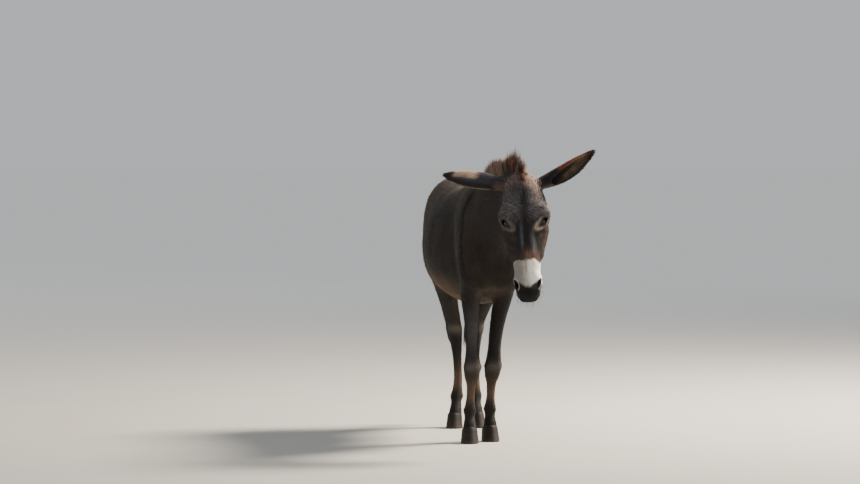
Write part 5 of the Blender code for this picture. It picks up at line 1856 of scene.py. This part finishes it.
def mane_locks():
    """Upright locks along the crest, gathered into tufts that lean their own way."""
    chance = np.random.default_rng(21)
    end = MANE_STEPS[-1]
    s = chance.uniform(-0.004, end + 0.004, MANE_LOCKS)
    across = chance.uniform(-1, 1, MANE_LOCKS)
    path, ahead, side, up = crest_at(s)
    centres = (np.arange(MANE_TUFTS) + 0.5) / MANE_TUFTS * end + chance.normal(0, 0.004, MANE_TUFTS)
    tall = chance.uniform(0.88, 1.04, MANE_TUFTS)
    sway = chance.normal(0, 0.08, MANE_TUFTS)
    nod = chance.normal(0, 0.08, MANE_TUFTS)
    mine = np.abs(s[:, None] - centres[None]).argmin(1)
    away = (s - centres[mine]) / (end / MANE_TUFTS / 2)
    height = np.interp(s, MANE_STEPS, MANE_HEIGHTS) * 1.1 * tall[mine] * (1 - 0.16 * away ** 2)
    share = chance.uniform(0.7, 1.0, MANE_LOCKS)
    height *= share
    y = path[:, 1]
    height *= 1 + 0.14 * bump(y, -0.7, 0.055) - 0.24 * bump(y, -0.585, 0.03)
    stray = chance.random(MANE_LOCKS) < 0.06
    height *= np.where(stray, chance.uniform(1.02, 1.14, MANE_LOCKS), 1.0)
    height *= (1 - 0.22 * np.abs(across)) * (1 - 0.35 * step(s, end - 0.085, end - 0.03))
    start = path + side * (across * 0.0125)[:, None] - up * MANE_SUNK
    aim = up + side * (sway[mine] + across * 0.11 + chance.normal(0, 0.06, MANE_LOCKS))[:, None]
    aim += ahead * (nod[mine] - away * 0.06 + chance.normal(0, 0.04, MANE_LOCKS))[:, None]
    aim = unit_rows(aim)
    outward = at_right_angles(side * np.sign(across)[:, None] + 0.25 * up, aim)
    colours, tips, sunny = mane_colours(chance, y, across, share)
    places = np.column_stack([0.65 + 0.004 * across, 0.02 + 0.2 * s / end])
    return grow(start, outward, aim, places, colours, height + MANE_SUNK,
                chance.uniform(0.003, 0.0058, MANE_LOCKS), lift=0.0, rings=4,
                bend=chance.normal(0, 0.05, MANE_LOCKS), wave=0.02, dark=0.7, light=1.0,
                tips=tips, tip_from=3 + sunny, sink=0.0, thick=0.35)


def tassel_locks():
    """Long locks hanging from the lower dock, drawn together at the tip."""
    chance = np.random.default_rng(22)
    spots = np.array([spot for spot, _ in TAIL])[::-1]
    count = 1500
    z = chance.uniform(0.4, 0.64, count)
    turn = chance.uniform(0, 2 * math.pi, count)
    reach = 0.012 * np.sqrt(chance.random(count))
    path = np.column_stack([np.interp(z, spots[:, 2], spots[:, a]) for a in range(3)])
    outward = np.column_stack([np.cos(turn), np.sin(turn), np.zeros(count)])
    start = path + outward * reach[:, None]
    length = np.minimum((z - 0.318) * chance.uniform(0.7, 1.0, count), 0.23)
    belly = 0.075 * bump(z, 0.56, 0.06)
    aim = unit_rows(outward * belly[:, None] + np.array([0.0, -0.02, -1.0]))
    outward = unit_rows(outward - (outward * aim).sum(1)[:, None] * aim)
    colours = plain_hair("#2b241f", count, chance, 0.22)
    tips = plain_hair("#3a2e26", count, chance, 0.22)
    places = np.column_stack([0.8 + 0.17 * turn / 6.3, 0.03 + 0.2 * (0.64 - z) / 0.24])
    return grow(start, outward, aim, places, colours, length,
                chance.uniform(0.003, 0.0055, count), lift=0.05, rings=4,
                bend=chance.normal(0, 0.05, count), wave=0.03, waves=1.3, dark=0.85, light=1.1,
                tips=tips, sink=0.0, thick=0.35)


mane_piece = coat_piece("mane_locks", mane_locks(), COARSE_HAIR, "mane")
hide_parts("mane")
tassel_piece = coat_piece("tail_tassel_locks", tassel_locks(), COARSE_HAIR, "tail_tassel")
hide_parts("tail_tassel")


def lashes():
    chance = np.random.default_rng(23)
    growths = []
    for side in SIDES:
        centre, slit, brow, out = EYES[side]
        for upper, count, long_hair, lid, rise in ((1, 64, 0.0125, UPPER_LID, 0.05),
                                                   (-1, 24, 0.006, LOWER_LID, 0.25)):
            a = np.sort(chance.uniform(-0.85, 0.8, count)) * SLIT_LENGTH
            b = upper * (lid * (1 - (a / SLIT_LENGTH) ** 2) + 0.0006)
            deep = np.sqrt(np.maximum((EYE_RADIUS + 0.0022) ** 2 - a * a - b * b, 0))
            start = centre + a[:, None] * slit + b[:, None] * brow + deep[:, None] * out
            aim = 0.8 * out + upper * rise * brow - 0.3 * slit
            aim = unit_rows(np.repeat(aim[None], count, 0)
                            + (a / SLIT_LENGTH * 0.35)[:, None] * slit
                            + chance.normal(0, 0.1, (count, 3)))
            lifted = unit_rows(brow * upper - (aim @ brow * upper)[:, None] * aim)
            colours = plain_hair("#15100d", count, chance, 0.1)
            growths.append(grow(start, lifted, aim, np.full((count, 2), 0.005), colours,
                                long_hair * chance.uniform(0.7, 1.1, count), 0.0007, lift=0.15,
                                rings=3, bend=chance.normal(0, 0.1, count), sink=0.0, thick=0.4))
    return together(growths)


def whiskers():
    chance = np.random.default_rng(24)
    f, s = in_head(HIDE.middle)[1:]
    grows = np.isin(HIDE.part, numbers("head")) * step(s, 0.4, 0.45) * (f < 0.015)
    roots, normals, places, _ = HIDE.roots(chance, 0.0125, grows)
    aim = unit_rows(0.9 * normals + 0.5 * HEAD.along + chance.normal(0, 0.25, roots.shape))
    outward = unit_rows(np.cross(aim, np.cross(normals, aim) + 1e-6))
    return grow(roots, outward, aim, places, plain_hair("#3a332c", len(roots), chance),
                chance.uniform(0.01, 0.034, len(roots)), 0.0007, lift=0.0, rings=3,
                bend=chance.normal(0, 0.15, len(roots)), sag=0.25, thick=0.4)


coat_piece("eye_lashes", lashes(), COARSE_HAIR, "head")
coat_piece("muzzle_whiskers", whiskers(), COARSE_HAIR, "head")


# --- Eyes and hooves ---
EYE_AROUND = 48
EYE_RINGS = 36


def gaze_directions():
    """Directions from the middle of the eye, in rings from the front of its cornea to the back."""
    gaze = [(0.0, 0.0, 1.0)]
    for i in range(1, EYE_RINGS):
        # closer together at the front
        tilt = math.pi * (i / EYE_RINGS) ** 1.15
        off = math.sin(tilt)
        for j in range(EYE_AROUND):
            turn = 2 * math.pi * j / EYE_AROUND
            gaze.append((off * math.cos(turn), off * math.sin(turn), math.cos(tilt)))
    return np.array(gaze + [(0.0, 0.0, -1.0)])


def eyeball(side, material):
    """Eyeball with its raised cornea, turned to look out of the slit of the lids."""
    centre, slit, brow, out = EYES[side]
    gaze = gaze_directions()
    # the cornea stands 0.9 mm over the ball
    radius = EYE_RADIUS - 0.0006 + 0.0009 * step(gaze[:, 2], 0.6, 0.85)
    points = centre + (gaze * radius[:, None]) @ np.array([slit, brow, out])
    triangles = []
    last = 1 + (EYE_RINGS - 2) * EYE_AROUND
    for j in range(EYE_AROUND):
        k = (j + 1) % EYE_AROUND
        triangles.append((0, 1 + j, 1 + k))
        for a in range(1, last, EYE_AROUND):
            b = a + EYE_AROUND
            triangles += [(a + j, b + j, b + k), (a + j, b + k, a + k)]
        triangles.append((last + j, len(points) - 1, last + k))
    triangles = np.array(triangles)
    if np.cross(slit, brow) @ out < 0:
        triangles = triangles[:, ::-1]
    name = "eye_left" if side > 0 else "eye_right"
    made = piece(name + "_ball", points, triangles, None, None, material)
    made.data.attributes.new("Gaze", "FLOAT_VECTOR", "POINT").data.foreach_set(
        "vector", gaze.astype(np.float32).ravel())
    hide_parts(name)


EYE_SURFACE = eye_surface()
for side in SIDES:
    eyeball(side, EYE_SURFACE)

# share of the hoof's height, length and width there
HOOF_CURVE = smooth_curve([(0.0, 0.955, 0.955), (0.04, 1.0, 1.0), (0.5, 0.925, 0.93),
                           (0.92, 0.855, 0.865), (1.0, 0.82, 0.83)])
HOOF_HALVES = {"fore": (0.048, 0.0365), "hind": (0.047, 0.035)}     # half length and half width
HOOF_SLOPE = math.radians(14.0)     # coronet lower at the heel
HOOF_AROUND = 72
HOOF_LEVELS = 40


def hoof_points(name):
    """Rings of points up a hoof's wall with its growth rings, then the middles of top and sole."""
    half_long, half_wide = HOOF_HALVES[name[:4]]
    x, shift = (float(v) for v in stance_at(name, 0.028))
    foot = LEG_ROWS[name[:4]][-1]
    middle = np.array([x, (foot[1] + foot[2]) / 2 + shift - 0.004, 0.0])
    turn = math.radians(TOE_OUT[name])
    ahead = np.array([math.sin(turn), -math.cos(turn), 0.0])
    across = np.array([math.cos(turn), math.sin(turn), 0.0])
    points = []
    for share in np.arange(HOOF_LEVELS + 1) / HOOF_LEVELS:
        long_by, wide_by = read_curve(HOOF_CURVE, share)
        for i in range(HOOF_AROUND):
            angle = 2 * math.pi * i / HOOF_AROUND
            along, spread = math.cos(angle), math.sin(angle)
            heel = max(0.0, -along)
            ripple = math.sin(share * 52 + 1.5 * math.sin(angle * 2) + shift * 80)
            grow_by = 1 + 0.0045 * ripple * step(share, 0.05, 0.15) + 0.003 * math.sin(angle * 23)
            reach = along * half_long * long_by * (1 - 0.16 * heel)
            height = HOOF_HEIGHT + reach * math.tan(HOOF_SLOPE)
            forward = reach * grow_by + 0.01 * heel ** 6 - 0.02 * share + 0.006
            points.append(middle + forward * ahead + spread * half_wide * wide_by * grow_by
                          * (1 + 0.1 * heel) * across + (0, 0, share * height))
    points += [np.mean(points[-HOOF_AROUND:], axis=0), np.mean(points[:HOOF_AROUND], axis=0)]
    return np.array(points)


def hoof(name, material):
    """A hoof with growth rings on its wall and a flat sole."""
    points = hoof_points(name)
    top = len(points) - 2
    triangles = []
    last = HOOF_LEVELS * HOOF_AROUND
    for i in range(HOOF_AROUND):
        j = (i + 1) % HOOF_AROUND
        for a in range(0, last, HOOF_AROUND):
            b = a + HOOF_AROUND
            triangles += [(a + i, a + j, b + j), (a + i, b + j, b + i)]
        triangles += [(last + i, last + j, top), (j, i, top + 1)]
    triangles = np.array(triangles)
    a, b, c = (points[triangles[:, i]] for i in range(3))
    if (np.cross(a, b) * c).sum() < 0:
        triangles = triangles[:, ::-1]
    made = piece("hoof_wall_" + name, points, triangles, None, None, material)
    made.data.set_sharp_from_angle(angle=math.radians(40))
    node = "hoof_" + name
    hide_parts(node)


HORN = hoof_horn()
for leg in STANCE:
    hoof(leg, HORN)


# --- Floor, light and camera ---
def area_light(name, place, target, size, power, colour):
    data = bpy.data.lights.new(name, "AREA")
    data.shape = "DISK"
    data.size = size
    data.energy = power
    data.color = linear(colour).tolist()
    made = linked(name, data)
    made.location = place
    made.rotation_euler = (Vector(target) - Vector(place)).to_track_quat("-Z", "Y").to_euler()


def studio():
    half = 60.0
    mesh = bpy.data.meshes.new("floor")
    mesh.from_pydata([(-half, -half, 0), (half, -half, 0), (half, half, 0), (-half, half, 0)], [],
                     [(0, 1, 2, 3)])
    mesh.materials.append(painted_floor())
    floor = linked("floor", mesh)
    world = bpy.data.worlds.new("studio")
    world.use_nodes = True
    tree = world.node_tree
    # a little darker at the horizon
    height = add(tree, "SeparateXYZ", {"Vector": add(tree, "TexCoord")}).outputs["Z"]
    rise = add(tree, "MapRange", {"Value": height, "From Max": 0.12},
               interpolation_type="SMOOTHSTEP")
    sky = add(tree, "Mix", {"Factor": rise, 6: hex4("#d5d8da"), 7: hex4("#dfe3e6")},
              data_type="RGBA")
    feed(tree, tree.nodes["Background"], {"Color": sky.outputs[2], "Strength": 0.8})
    bpy.context.scene.world = world
    area_light("key", (3.6, 1.4, 4.4), (0.0, -0.2, 0.8), 1.6, 1500.0, "#fff1df")
    area_light("fill", (-4.5, -5.5, 3.0), (0.0, -0.2, 0.7), 4.0, 25.0, "#e6eefa")


def camera():
    data = bpy.data.cameras.new("camera")
    data.lens = 180.63
    data.sensor_width = 36.0
    data.sensor_fit = "HORIZONTAL"
    data.clip_end = 200.0
    made = linked("camera", data)
    made.location = (-2.463, -17.672, 1.45)
    made.rotation_euler = (math.radians(90 - 2.037), 0.0, math.radians(-7.0))
    bpy.context.scene.camera = made


studio()
camera()
